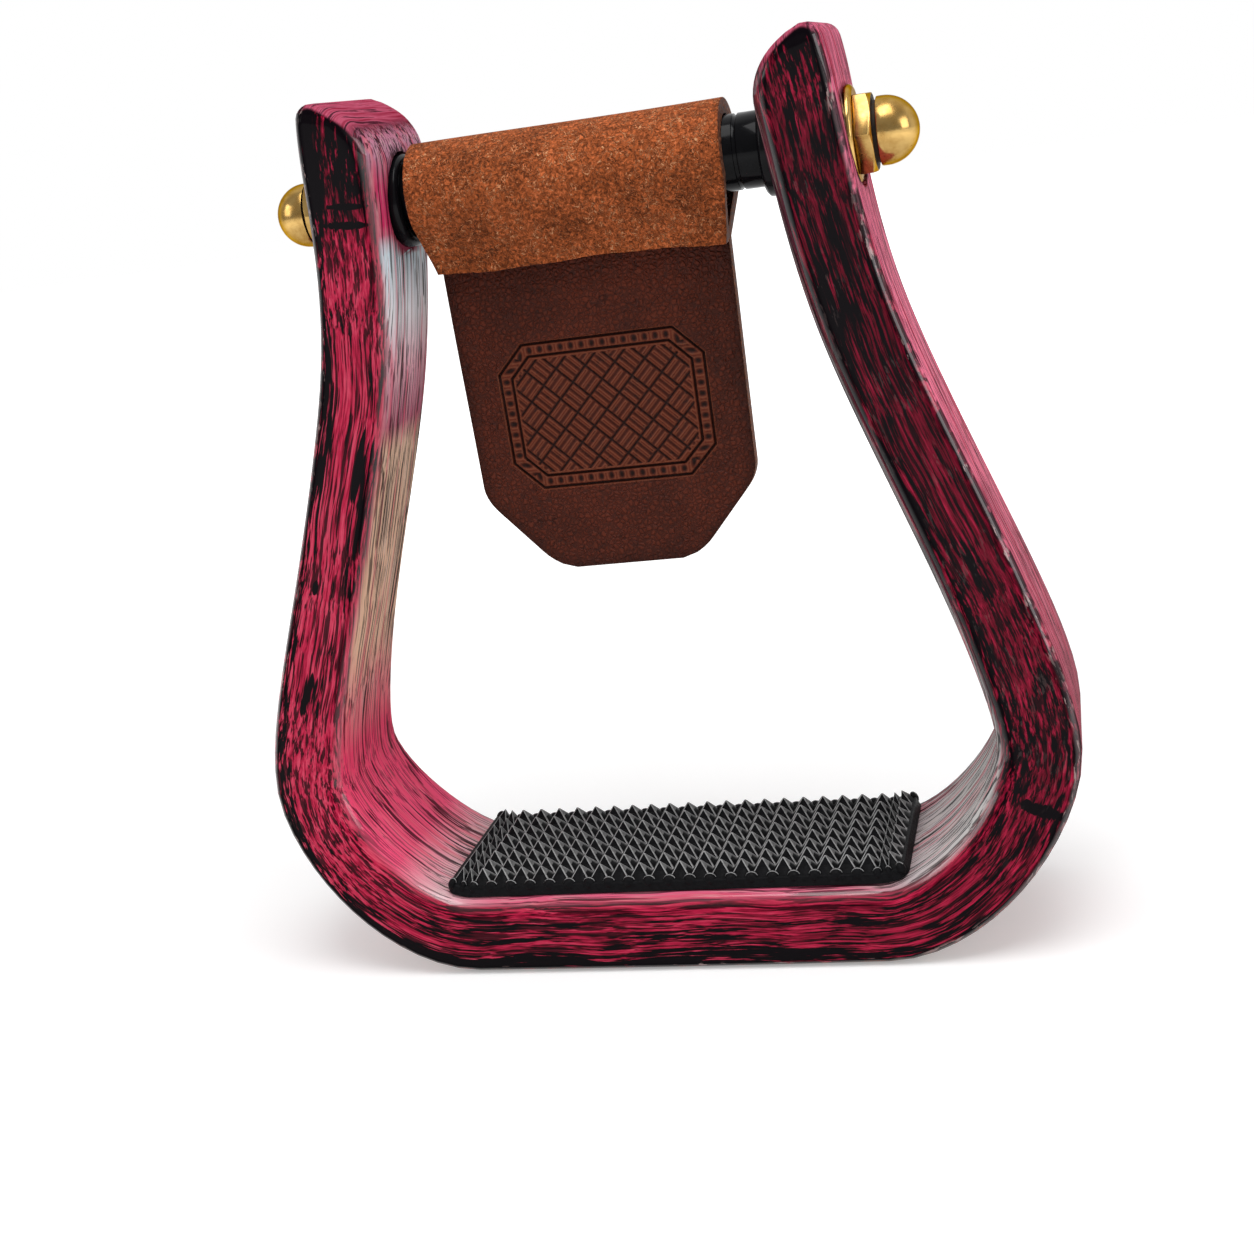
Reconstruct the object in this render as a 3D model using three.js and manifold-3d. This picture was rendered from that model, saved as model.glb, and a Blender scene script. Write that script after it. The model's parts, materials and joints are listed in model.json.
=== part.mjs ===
// Western bell stirrup: a bent wooden band with a through bolt between its two necks,
// a free roller in two end collars on that bolt, a folded leather keeper with a long flap
// hanging from the roller, and a studded rubber tread on the footbed.
// Millimetres, +Z up, X across the stirrup, Y along the foot. The origin is the middle of the
// flat underside of the footbed.

import * as THREE from 'three';
import { mergeVertices } from 'three/addons/utils/BufferGeometryUtils.js';
import Module from 'manifold-3d';

const wasm = await Module();
wasm.setup();

// Centre line of the wooden band, right half, seen from the front
const baseFlatHalf = 44; // straight part of the footbed, from the middle
const cornerHandleFlat = 16; // how far the footbed runs on before it turns up
const cornerHandleSide = 13; // how far the side runs down before it turns in
const widestHalf = 77.6; // centre line at the widest point
const widestHeight = 43.5;
const shoulderHandle = 16.5; // upright stretch above the widest point
const sideHandle = 26;
const neckHalf = 50.9; // centre line where the side turns into the neck
const neckHeight = 129.5;
const neckLean = 15; // degrees from upright, leaning in
const neckHandle = 24;
const tipHalf = 42.6; // centre line at the top of the neck
const tipHeight = 182;
const tipLean = 17; // degrees from upright, leaning in
const tipHandle = 10;

// Section of the wooden band
const footbedThickness = 17;
const tipThickness = 15.1;
const innerEdgeRound = 4.6; // soft edges towards the foot
const outerEdgeRound = 2.4;
// half of the band's depth along Y, at even steps of arc length from the footbed's middle to the tip
const halfDepths = [22, 22, 21.4, 17.2, 13.3, 12.8, 13.9, 18.6];
const tipInnerRound = 11.5; // the tip is rounded mostly from the inner side
const tipOuterRound = 2.6;
const tipCornerRound = 3;

// Bolt and the seats for it in the wood
const boltBelowTip = 19.4; // from the top of the necks down to the bolt's axis
const boltDiameter = 9.5;
const boltTipChamfer = 1;
const boltHoleClearance = 0.4; // between bolt and wood or collar, on the radius
const seatGap = 0.1; // between clamped faces
const spotFaceMargin = 0.6; // the flat seats in the wood are this much wider, on the radius

// Cap nuts and washers
const washerDiameter = 18.4;
const washerThickness = 1.6;
const washerChamfer = 0.35;
const nutAcrossFlats = 14.3;
const nutHexHeight = 3.2;
const nutChamfer = 0.7;
const nutChamferInset = 0.15; // how far the chamfer's end circle lies inside the flats
const nutGrooveDiameter = 11.8;
const nutGrooveWidth = 0.7;
const nutDomeDiameter = 12.7;
const nutDomeLand = 1.2; // straight part under the dome
const nutFloor = 3.6; // brass left over the end of the threaded hole
const threadClearance = 0.3;
const boltEndGap = 0.6; // free space between bolt end and that floor

// Roller and its end collars
const rollerDiameter = 14.3;
const rollerWall = 1.8;
const rollerChamfer = 0.5;
const rollerRingDepth = 0.3; // fine turned ring near each end
const rollerRingWidth = 0.8;
const rollerRingInset = 6.2;
const collarDiameter = 18.2;
const collarLength = 2.8;
const collarWall = 1.2; // closed side of the collar, against the wood
const collarChamfer = 0.6;
const runningClearance = 0.35; // between roller and collar, on the radius
const rollerEndPlay = 0.4;

// Leather keeper: one strap folded over the roller
const strapThickness = 3;
const strapRollerGap = 0.35;
const strapLayerGap = 0.3;
const strapHug = 12; // degrees below level down to which the strap hugs the roller
const strapBendShare = 0.36; // length of the strap's easy bends, as a share of the pinch drop
const wrapEndGap = 4.3; // between the wrap and each collar when it hangs in the middle
const keeperSlide = -2.4; // where the keeper has slid to along the roller, from its middle
const wrapShoulderDrop = 4; // below the bolt, where the wrap starts to narrow
const frontEdgeDrop = 15.4; // raw front edge, below the bolt
const frontEdgeLift = 0.4; // how far that edge eases towards the flap
const flapPinchDrop = 12.2; // where the two layers come together, below the bolt
const flapTopInset = 2; // on each side, narrower than the wrap
const flapLowInset = 2.5;
const flapDrop = 78.6; // lower edge of the flap, below the bolt
const flapBottomHalfWidth = 14.8;
const flapCornerHeight = 16; // of the two cut corners
const flapCornerRound = 3.8;

// Rubber tread
const studPitch = 4.4;
const studColumns = 24;
const studRows = 8;
const studFoot = 4; // side of one pyramid's square foot
const studHeight = 3;
const studTipFlat = 0.5; // side of the worn flat on its tip
const studRoot = 0.4; // how far a stud reaches down into the sheet
const treadThickness = 2.2;
const treadBorder = 1.2;
const treadCornerRound = 3;
const treadGap = 0.3; // glue line between tread and wood

// Fineness of the curved forms
const cornerSteps = 10;
const sideSteps = 12;
const neckSteps = 9;
const tipSteps = 6;
const edgeSteps = 3;
const domeSteps = 8;
const roundSides = 32;
const holeSides = 24;

const degrees = Math.PI / 180;
const boltHeight = tipHeight - boltBelowTip;

// Helpers that make and convert solids

function toManifold(geometry) {
  const bare = geometry.clone();
  bare.deleteAttribute('normal');
  bare.deleteAttribute('uv');
  const merged = mergeVertices(bare, 1e-4);
  return new wasm.Manifold(new wasm.Mesh({
    numProp: 3,
    vertProperties: new Float32Array(merged.attributes.position.array),
    triVerts: new Uint32Array(merged.index.array),
  }));
}

function toGeometry(solid) {
  const mesh = solid.getMesh();
  const geometry = new THREE.BufferGeometry();
  geometry.setAttribute('position', new THREE.BufferAttribute(new Float32Array(mesh.vertProperties), 3));
  geometry.setIndex(new THREE.BufferAttribute(new Uint32Array(mesh.triVerts), 1));
  return geometry;
}

// closed skin through rings of equal length, with a fan over each end
function loft(rings) {
  const count = rings[0].length;
  const positions = [];
  const index = [];
  for (const ring of rings) {
    for (const p of ring) positions.push(p.x, p.y, p.z);
  }
  for (let i = 0; i < rings.length - 1; i += 1) {
    for (let j = 0; j < count; j += 1) {
      const a = i * count + j;
      const b = i * count + ((j + 1) % count);
      index.push(a, b, b + count, a, b + count, a + count);
    }
  }
  const fan = (ring, first, flip) => {
    const centre = ring.reduce((sum, p) => sum.add(p), new THREE.Vector3()).divideScalar(count);
    const c = positions.length / 3;
    positions.push(centre.x, centre.y, centre.z);
    for (let j = 0; j < count; j += 1) {
      const a = first + j;
      const b = first + ((j + 1) % count);
      if (flip) index.push(c, b, a);
      else index.push(c, a, b);
    }
  };
  fan(rings[0], 0, true);
  fan(rings[rings.length - 1], (rings.length - 1) * count, false);
  const geometry = new THREE.BufferGeometry();
  geometry.setAttribute('position', new THREE.Float32BufferAttribute(positions, 3));
  geometry.setIndex(index);
  return geometry;
}

// body of revolution about X: profile points are (distance along X, radius)
function turned(profile, sides = roundSides) {
  const points = profile.map(([along, radius]) => new THREE.Vector2(radius, along));
  const geometry = new THREE.LatheGeometry(points, sides);
  geometry.rotateZ(-Math.PI / 2);
  return geometry;
}

function cylinderAlongX(radius, from, to, sides = roundSides) {
  const geometry = new THREE.CylinderGeometry(radius, radius, to - from, sides);
  geometry.rotateZ(-Math.PI / 2);
  geometry.translate((from + to) / 2, 0, 0);
  return geometry;
}

// outline through corners given as [x, y, length of the round's legs]
function roundedOutline(corners) {
  const shape = new THREE.Shape();
  const point = ([x, y]) => new THREE.Vector2(x, y);
  corners.forEach((corner, i) => {
    const here = point(corner);
    const before = point(corners.at(i - 1)).sub(here);
    const after = point(corners[(i + 1) % corners.length]).sub(here);
    const start = before.setLength(corner[2]).add(here);
    const end = after.setLength(corner[2]).add(here);
    if (i === 0) shape.moveTo(start.x, start.y);
    else shape.lineTo(start.x, start.y);
    if (corner[2] > 0) shape.quadraticCurveTo(here.x, here.y, end.x, end.y);
  });
  return shape;
}

// Where the wooden band runs

function bandPath() {
  const v = (x, z) => new THREE.Vector2(x, z);
  const path = new THREE.CurvePath();
  const footbedMid = footbedThickness / 2;
  path.add(new THREE.LineCurve(v(0, footbedMid), v(baseFlatHalf, footbedMid)));
  path.add(new THREE.CubicBezierCurve(
    v(baseFlatHalf, footbedMid),
    v(baseFlatHalf + cornerHandleFlat, footbedMid),
    v(widestHalf, widestHeight - cornerHandleSide),
    v(widestHalf, widestHeight),
  ));
  const lean = neckLean * degrees;
  path.add(new THREE.CubicBezierCurve(
    v(widestHalf, widestHeight),
    v(widestHalf, widestHeight + shoulderHandle),
    v(neckHalf + sideHandle * Math.sin(lean), neckHeight - sideHandle * Math.cos(lean)),
    v(neckHalf, neckHeight),
  ));
  const top = tipLean * degrees;
  path.add(new THREE.CubicBezierCurve(
    v(neckHalf, neckHeight),
    v(neckHalf - neckHandle * Math.sin(lean), neckHeight + neckHandle * Math.cos(lean)),
    v(tipHalf + tipHandle * Math.sin(top), tipHeight - tipHandle * Math.cos(top)),
    v(tipHalf, tipHeight),
  ));
  return path;
}

const path = bandPath();
const pieceLengths = path.curves.map((curve) => {
  curve.arcLengthDivisions = 400;
  return curve.getLength();
});
const bandLength = pieceLengths.reduce((a, b) => a + b, 0);

// smooth curve through the depths, level at the middle of the footbed
function depthAt(share) {
  const last = halfDepths.length - 1;
  const x = Math.min(share, 1) * last;
  const i = Math.min(Math.floor(x), last - 1);
  const f = x - i;
  const beyondTip = 2 * halfDepths[last] - halfDepths[last - 1];
  const at = (n) => (n > last ? beyondTip : halfDepths[Math.abs(n)]);
  const [a, b, c, d] = [at(i - 1), at(i), at(i + 1), at(i + 2)];
  return 0.5 * (2 * b + (c - a) * f + (2 * a - 5 * b + 4 * c - d) * f * f + (3 * b - a - 3 * c + d) * f ** 3);
}

// point, outward normal and section of the band at arc length s from the middle of the footbed
function bandAt(s) {
  let k = 0;
  let rest = s;
  while (k < pieceLengths.length - 1 && rest > pieceLengths[k]) {
    rest -= pieceLengths[k];
    k += 1;
  }
  const u = Math.min(rest / pieceLengths[k], 1);
  const tangent = path.curves[k].getTangentAt(u);
  const share = s / bandLength;
  return {
    point: path.curves[k].getPointAt(u),
    outward: new THREE.Vector2(tangent.y, -tangent.x),
    halfThickness: (footbedThickness + (tipThickness - footbedThickness) * share) / 2,
    halfDepth: depthAt(share),
  };
}

// how much a round of the given radius takes off at a distance from the tip
function roundOff(radius, distance) {
  if (distance >= radius) return 0;
  return radius - Math.sqrt(radius * radius - (radius - distance) ** 2);
}

// where the neck's outer face (side 1) or inner face (side -1) crosses a height
function faceAtHeight(height, side) {
  let low = pieceLengths[0] + pieceLengths[1];
  let high = bandLength;
  for (let i = 0; i < 40; i += 1) {
    const mid = (low + high) / 2;
    const b = bandAt(mid);
    if (b.point.y + b.outward.y * side * b.halfThickness < height) low = mid;
    else high = mid;
  }
  const b = bandAt(low);
  return b.point.x + b.outward.x * side * b.halfThickness;
}

// Wooden band with its bolt hole and seats

// one rounded section of the band, drawn in towards the tip
function bandRing(s) {
  const b = bandAt(s);
  const distance = bandLength - s;
  const inner = b.halfThickness - roundOff(tipInnerRound, distance);
  const outer = b.halfThickness - roundOff(tipOuterRound, distance);
  const depth = b.halfDepth - roundOff(tipCornerRound, distance);
  const ring = [];
  const corners = [[1, 1, 0], [-1, 1, 1], [-1, -1, 2], [1, -1, 3]];
  for (const [across, along, quarter] of corners) {
    const offset = across > 0 ? outer : inner;
    const round = across > 0 ? outerEdgeRound : innerEdgeRound;
    const radius = Math.min(round, 0.48 * (inner + outer));
    for (let k = 0; k <= edgeSteps; k += 1) {
      const angle = (quarter + k / edgeSteps) * Math.PI / 2;
      const out = across * (offset - radius) + radius * Math.cos(angle);
      const y = along * (depth - radius) + radius * Math.sin(angle);
      ring.push(new THREE.Vector3(b.point.x + b.outward.x * out, y, b.point.y + b.outward.y * out));
    }
  }
  return ring;
}

function bandStations() {
  const [flat, corner, side, neck] = pieceLengths;
  const straight = neck - tipInnerRound;
  const stations = [0, flat * 0.6, flat];
  for (let i = 1; i <= cornerSteps; i += 1) stations.push(flat + corner * i / cornerSteps);
  for (let i = 1; i <= sideSteps; i += 1) stations.push(flat + corner + side * i / sideSteps);
  for (let i = 1; i <= neckSteps; i += 1) stations.push(flat + corner + side + straight * i / neckSteps);
  for (let i = 1; i <= tipSteps; i += 1) {
    stations.push(bandLength - tipInnerRound * (1 - Math.sin(i / tipSteps * Math.PI / 2)));
  }
  return stations;
}

// the flat seats are cut square to the bolt, just deep enough to be flat all round
const washerSeatRadius = washerDiameter / 2 + spotFaceMargin;
const collarSeatRadius = collarDiameter / 2 + spotFaceMargin;
const outerSeat = faceAtHeight(boltHeight + washerSeatRadius, 1);
const innerSeat = faceAtHeight(boltHeight - collarSeatRadius, -1);

function stirrupFrame() {
  const half = bandStations().map(bandRing);
  const mirrored = half.slice(1).reverse().map((ring) => (
    ring.map((p) => new THREE.Vector3(-p.x, p.y, p.z))
  ));
  let band = toManifold(loft([...mirrored, ...half]));
  const boltHole = cylinderAlongX(boltDiameter / 2 + boltHoleClearance, -widestHalf, widestHalf, holeSides);
  boltHole.translate(0, 0, boltHeight);
  band = band.subtract(toManifold(boltHole));
  for (const turn of [0, Math.PI]) {
    const washerSeat = cylinderAlongX(washerSeatRadius, outerSeat, widestHalf);
    const collarSeat = cylinderAlongX(collarSeatRadius, innerSeat - tipThickness, innerSeat);
    for (const cutter of [washerSeat, collarSeat]) {
      cutter.rotateZ(turn);
      cutter.translate(0, 0, boltHeight);
      band = band.subtract(toManifold(cutter));
    }
  }
  return toGeometry(band);
}

// Pieces on the bolt line. Each is drawn on the X axis, and the bolt line group lifts it to its height.

const washerStart = outerSeat + seatGap;
const nutStart = washerStart + washerThickness + seatGap;
const domeRadius = nutDomeDiameter / 2;
const domeStart = nutHexHeight + nutGrooveWidth;
const domeCentre = domeStart + nutDomeLand;
const threadDepth = domeCentre + domeRadius - nutFloor;

function throughBolt() {
  const r = boltDiameter / 2;
  const c = boltTipChamfer;
  const end = nutStart + threadDepth - boltEndGap;
  return turned([[-end, 0], [-end, r - c], [-end + c, r], [end - c, r], [end, r - c], [end, 0]], holeSides);
}

function washer() {
  const r = washerDiameter / 2;
  const hole = boltDiameter / 2 + threadClearance;
  const c = washerChamfer;
  const t = washerThickness;
  return turned([[0, hole], [0, r - c], [c, r], [t - c, r], [t, r - c], [t, hole], [0, hole]]);
}

// six-sided base with a turned chamfer, a groove, and a domed cap over a blind hole
function capNut() {
  const corner = nutAcrossFlats / 2 / Math.cos(Math.PI / 6);
  const hex = cylinderAlongX(corner, 0, nutHexHeight, 6);
  hex.rotateX(Math.PI / 6); // corners to the front and back
  const chamferCone = turned([
    [0, 0],
    [0, corner + nutChamfer],
    [nutHexHeight - nutChamfer, corner + nutChamfer],
    [nutHexHeight - nutChamfer, corner],
    [nutHexHeight, nutAcrossFlats / 2 - nutChamferInset],
    [nutHexHeight, 0],
  ]);
  const groove = nutGrooveDiameter / 2;
  const rootStart = nutHexHeight / 2;
  const cap = [[rootStart, 0], [rootStart, groove], [domeStart, groove], [domeStart, domeRadius]];
  for (let i = 0; i < domeSteps; i += 1) {
    const angle = i / domeSteps * Math.PI / 2;
    cap.push([domeCentre + domeRadius * Math.sin(angle), domeRadius * Math.cos(angle)]);
  }
  cap.push([domeCentre + domeRadius, 0]);
  const hole = cylinderAlongX(boltDiameter / 2 + threadClearance, -nutHexHeight, threadDepth, holeSides);
  const outside = toManifold(hex).intersect(toManifold(chamferCone)).add(toManifold(turned(cap)));
  return toGeometry(outside.subtract(toManifold(hole)));
}

// cup that holds the roller's end, drawn with its closed side at the origin and its mouth towards +X
function endCollar() {
  const r = collarDiameter / 2;
  const c = collarChamfer;
  const hole = boltDiameter / 2 + boltHoleClearance;
  const bore = rollerDiameter / 2 + runningClearance;
  return turned([
    [0, hole],
    [0, r],
    [collarLength - c, r],
    [collarLength, r - c],
    [collarLength, bore],
    [collarWall, bore],
    [collarWall, hole],
    [0, hole],
  ]);
}

const collarFace = innerSeat - seatGap;

function roller() {
  const r = rollerDiameter / 2;
  const bore = r - rollerWall;
  const c = rollerChamfer;
  const end = collarFace - collarWall - rollerEndPlay;
  const low = r - rollerRingDepth;
  const ring = end - rollerRingInset;
  const w = rollerRingWidth;
  const half = [[ring, r], [ring, low], [ring + w, low], [ring + w, r], [end - c, r], [end, r - c], [end, bore]];
  const mirrored = half.map(([along, radius]) => [-along, radius]).reverse();
  return turned([...mirrored, ...half, mirrored[0]]);
}

// Leather keeper

// centre line of the strap seen from the side, (y, z) from the bolt line: up from the raw front edge,
// over the roller, down behind it, forward under it, and straight down as the flap
function keeperPath() {
  const v = (y, z) => new THREE.Vector2(y, z);
  const wrapRadius = rollerDiameter / 2 + strapRollerGap + strapThickness / 2;
  const frontY = -(strapThickness + strapLayerGap);
  const hug = strapHug * degrees;
  const cos = wrapRadius * Math.cos(hug);
  const sin = wrapRadius * Math.sin(hug);
  const ease = flapPinchDrop * strapBendShare;
  const flapStart = -flapPinchDrop - strapThickness;
  const curve = new THREE.CurvePath();
  curve.add(new THREE.CubicBezierCurve(
    v(frontY, -frontEdgeDrop),
    v(frontY - frontEdgeLift, -frontEdgeDrop + ease),
    v(-cos + ease * Math.sin(hug), -sin - ease * Math.cos(hug)),
    v(-cos, -sin),
  ));
  curve.add(new THREE.EllipseCurve(0, 0, wrapRadius, wrapRadius, Math.PI + hug, -hug, true));
  curve.add(new THREE.CubicBezierCurve(
    v(cos, -sin),
    v(cos - ease * Math.sin(hug), -sin - ease * Math.cos(hug)),
    v(0, flapStart + strapThickness + frontEdgeLift * ease),
    v(0, flapStart),
  ));
  curve.add(new THREE.LineCurve(v(0, flapStart), v(0, -flapDrop)));
  return curve;
}

function keeperSide() {
  const counts = [6, 22, 9, 2];
  const left = [];
  const right = [];
  keeperPath().curves.forEach((piece, k) => {
    for (let i = k === 0 ? 0 : 1; i <= counts[k]; i += 1) {
      const p = piece.getPointAt(i / counts[k]);
      const t = piece.getTangentAt(i / counts[k]);
      const normal = new THREE.Vector2(-t.y, t.x).multiplyScalar(strapThickness / 2);
      left.push(p.clone().add(normal));
      right.push(p.clone().sub(normal));
    }
  });
  return new THREE.Shape([...left, ...right.reverse()]);
}

const wrapHalfWidth = collarFace - collarLength - wrapEndGap;

// outline of the folded strap seen from the front, (x, z) from the bolt line
function keeperFront() {
  const top = rollerDiameter / 2 + 2 * strapThickness;
  const r = flapCornerRound;
  const half = [
    [wrapHalfWidth, top, 0],
    [wrapHalfWidth, -wrapShoulderDrop, 0],
    [wrapHalfWidth - flapTopInset, -frontEdgeDrop, 0],
    [wrapHalfWidth - flapLowInset, -flapDrop + flapCornerHeight, r],
    [flapBottomHalfWidth, -flapDrop, r],
  ];
  return roundedOutline([...half, ...half.map(([x, z, round]) => [-x, z, round]).reverse()]);
}

function leatherKeeper() {
  const width = 2 * wrapHalfWidth + strapThickness;
  const side = new THREE.ExtrudeGeometry(keeperSide(), { depth: width, bevelEnabled: false });
  side.translate(0, 0, -width / 2);
  // the outline was drawn as (y, z): turn it so that the extrusion runs along X
  side.applyMatrix4(new THREE.Matrix4().makeBasis(
    new THREE.Vector3(0, 1, 0),
    new THREE.Vector3(0, 0, 1),
    new THREE.Vector3(1, 0, 0),
  ));
  const span = 2 * (rollerDiameter + 2 * strapThickness);
  const front = new THREE.ExtrudeGeometry(keeperFront(), { depth: span, bevelEnabled: false, curveSegments: 5 });
  front.translate(0, 0, -span / 2);
  front.rotateX(Math.PI / 2);
  return toGeometry(toManifold(side).intersect(toManifold(front)));
}

// Rubber tread. It is made flat, as length along the footbed, depth and height, and then bent onto the wood.

// outline of the sheet, with points along its long edges so that it can bend
function treadOutline() {
  const halfLength = studColumns * studPitch / 2 + treadBorder;
  const halfWidth = studRows * studPitch / 2 + treadBorder;
  const r = treadCornerRound;
  const reach = halfLength - r;
  const count = studColumns * 2;
  const xs = Array.from({ length: count + 1 }, (_, i) => reach * (2 * i / count - 1));
  const outline = new THREE.Shape();
  outline.moveTo(-reach, -halfWidth);
  for (const x of xs.slice(1)) outline.lineTo(x, -halfWidth);
  outline.absarc(reach, -halfWidth + r, r, -Math.PI / 2, 0, false);
  outline.absarc(reach, halfWidth - r, r, 0, Math.PI / 2, false);
  for (const x of xs.slice(1)) outline.lineTo(-x, halfWidth);
  outline.absarc(-reach, halfWidth - r, r, Math.PI / 2, Math.PI, false);
  outline.absarc(-reach, -halfWidth + r, r, Math.PI, 1.5 * Math.PI, false);
  return outline;
}

// four-sided pyramid with a worn tip, reaching a little into the sheet
function stud() {
  const halfTip = studTipFlat / 2;
  const slope = (studFoot / 2 - halfTip) / studHeight;
  const halfRoot = studFoot / 2 + studRoot * slope;
  const length = studHeight + studRoot;
  const pyramid = new THREE.CylinderGeometry(halfTip * Math.SQRT2, halfRoot * Math.SQRT2, length, 4, 1);
  pyramid.rotateY(Math.PI / 4);
  pyramid.rotateX(Math.PI / 2);
  pyramid.translate(0, 0, treadThickness + (studHeight - studRoot) / 2);
  return pyramid;
}

function rubberTread() {
  const sheet = new THREE.ExtrudeGeometry(treadOutline(), {
    depth: treadThickness, bevelEnabled: false, curveSegments: 3,
  });
  const studs = [];
  for (let i = 0; i < studColumns; i += 1) {
    for (let j = 0; j < studRows; j += 1) {
      const pyramid = stud();
      pyramid.translate((i - (studColumns - 1) / 2) * studPitch, (j - (studRows - 1) / 2) * studPitch, 0);
      studs.push(toManifold(pyramid));
    }
  }
  const geometry = toGeometry(toManifold(sheet).add(wasm.Manifold.union(studs)));
  const position = geometry.attributes.position;
  for (let i = 0; i < position.count; i += 1) {
    const along = position.getX(i);
    const b = bandAt(Math.abs(along));
    const lift = b.halfThickness + treadGap + position.getZ(i);
    const x = b.point.x - b.outward.x * lift;
    const z = b.point.y - b.outward.y * lift;
    position.setXYZ(i, Math.sign(along) * x, position.getY(i), z);
  }
  return geometry;
}

// Materials

const lacqueredOak = new THREE.MeshStandardMaterial({ color: 0x8e1f3f, roughness: 0.28, metalness: 0 });
const blackRubber = new THREE.MeshStandardMaterial({ color: 0x1c1d1e, roughness: 0.62, metalness: 0 });
const polishedBrass = new THREE.MeshStandardMaterial({ color: 0xc79a3a, roughness: 0.22, metalness: 1 });
const zincSteel = new THREE.MeshStandardMaterial({ color: 0x9a9a98, roughness: 0.35, metalness: 1 });
const blackEnamel = new THREE.MeshStandardMaterial({ color: 0x0b0b0c, roughness: 0.15, metalness: 0.2 });
const blackNylon = new THREE.MeshStandardMaterial({ color: 0x121213, roughness: 0.4, metalness: 0 });
const brownLeather = new THREE.MeshStandardMaterial({ color: 0x5a2d1f, roughness: 0.6, metalness: 0 });

// The stirrup

const group = new THREE.Group();

function place(name, geometry, material, parent) {
  const mesh = new THREE.Mesh(geometry, material);
  mesh.name = name;
  parent.add(mesh);
  return mesh;
}

place('stirrup_frame', stirrupFrame(), lacqueredOak, group);
place('rubber_tread', rubberTread(), blackRubber, group);

const boltLine = new THREE.Group();
boltLine.position.z = boltHeight;
group.add(boltLine);

place('through_bolt', throughBolt(), zincSteel, boltLine);
place('roller', roller(), blackEnamel, boltLine);
place('leather_keeper', leatherKeeper(), brownLeather, boltLine).position.x = keeperSlide;

// each end's pieces are drawn for the right end, and turned half round for the left
for (const [side, turn] of [['left', Math.PI], ['right', 0]]) {
  const end = new THREE.Group();
  end.rotation.z = turn;
  boltLine.add(end);
  const collar = place(`end_collar_${side}`, endCollar(), blackNylon, end);
  collar.rotation.z = Math.PI;
  collar.position.x = collarFace;
  place(`washer_${side}`, washer(), polishedBrass, end).position.x = washerStart;
  place(`cap_nut_${side}`, capNut(), polishedBrass, end).position.x = nutStart;
}

export default group;
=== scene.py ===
"""Dresses a western bell stirrup for rendering: oak band, rubber tread, bolt line and leather keeper.

Metres, +Z up, X across the stirrup, Y along the foot, origin under the middle of the footbed.
"""

import json
import math
from functools import partialmethod

import bmesh
import bpy
import numpy as np
from bpy.props import FloatProperty, FloatVectorProperty, IntProperty, PointerProperty
from mathutils import Matrix, Vector


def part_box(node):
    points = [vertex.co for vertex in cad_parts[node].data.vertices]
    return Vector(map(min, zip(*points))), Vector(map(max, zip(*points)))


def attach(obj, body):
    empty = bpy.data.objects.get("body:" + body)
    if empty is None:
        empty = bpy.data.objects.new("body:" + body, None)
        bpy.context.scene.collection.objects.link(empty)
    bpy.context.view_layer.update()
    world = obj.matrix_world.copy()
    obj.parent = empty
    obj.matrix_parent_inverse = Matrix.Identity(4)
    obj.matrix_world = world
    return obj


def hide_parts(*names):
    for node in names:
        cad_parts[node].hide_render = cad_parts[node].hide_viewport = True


bl_info = {
    "name": "Bell stirrup",
    "version": (1, 0, 0),
    "blender": (4, 5, 0),
    "location": "View3D > Sidebar > Stirrup",
    "description": "Makes the pieces of a western bell stirrup, each from its own sizes and finishes",
    "category": "Add Mesh",
}

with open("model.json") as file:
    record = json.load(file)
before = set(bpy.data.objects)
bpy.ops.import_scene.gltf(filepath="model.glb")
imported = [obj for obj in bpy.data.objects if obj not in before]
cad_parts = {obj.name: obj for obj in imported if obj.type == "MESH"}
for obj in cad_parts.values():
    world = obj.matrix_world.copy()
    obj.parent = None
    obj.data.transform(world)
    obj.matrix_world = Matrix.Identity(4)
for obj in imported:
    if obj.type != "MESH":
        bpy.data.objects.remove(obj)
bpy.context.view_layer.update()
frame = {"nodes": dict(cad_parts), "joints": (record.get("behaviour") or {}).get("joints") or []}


def span(solid):
    """Start and end along X of a solid on the bolt line, and its radius, from the fixed frame"""
    low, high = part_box(solid)
    return low[0], high[0], (high[1] - low[1]) / 2


BOLT_HEIGHT = frame["joints"][0]["pos_m"][2]
COLLAR_MOUTH, COLLAR_BACK, COLLAR_RADIUS = span("end_collar_right")
WASHER_BACK, WASHER_FACE, WASHER_RADIUS = span("washer_right")
NUT_BACK, NUT_TIP, _ = span("cap_nut_right")
_, ROLLER_END, ROLLER_RADIUS = span("roller")
KEEPER_LEFT, KEEPER_RIGHT, _ = span("leather_keeper")
FLAP_DROP = BOLT_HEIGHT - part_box("leather_keeper")[0][2]

ON_BOLT = Matrix.Translation((0, 0, BOLT_HEIGHT))
# these stand the X-Y plane of a curve up, across the stirrup or along the foot
UPRIGHT = Matrix(((1, 0, 0, 0), (0, 0, -1, 0), (0, 1, 0, 0), (0, 0, 0, 1)))
SIDEWAYS = Matrix(((0, 0, 1, 0), (1, 0, 0, 0), (0, 1, 0, 0), (0, 0, 0, 1)))
QUARTER = math.pi / 2


def length(name, default, description):
    """A size in metres for the sidebar"""
    return FloatProperty(
        name=name, description=description, default=default, min=0, unit="LENGTH", precision=4
    )


def angle(name, degrees, description):
    """An angle for the sidebar"""
    return FloatProperty(name=name, description=description, default=math.radians(degrees), subtype="ANGLE")


def number(name, default, description):
    """A plain number for the sidebar"""
    return FloatProperty(name=name, description=description, default=default)


def colour(name, default, description):
    """A colour for the sidebar"""
    return FloatVectorProperty(
        name=name, description=description, default=default, min=0, max=1, subtype="COLOR"
    )


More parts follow.
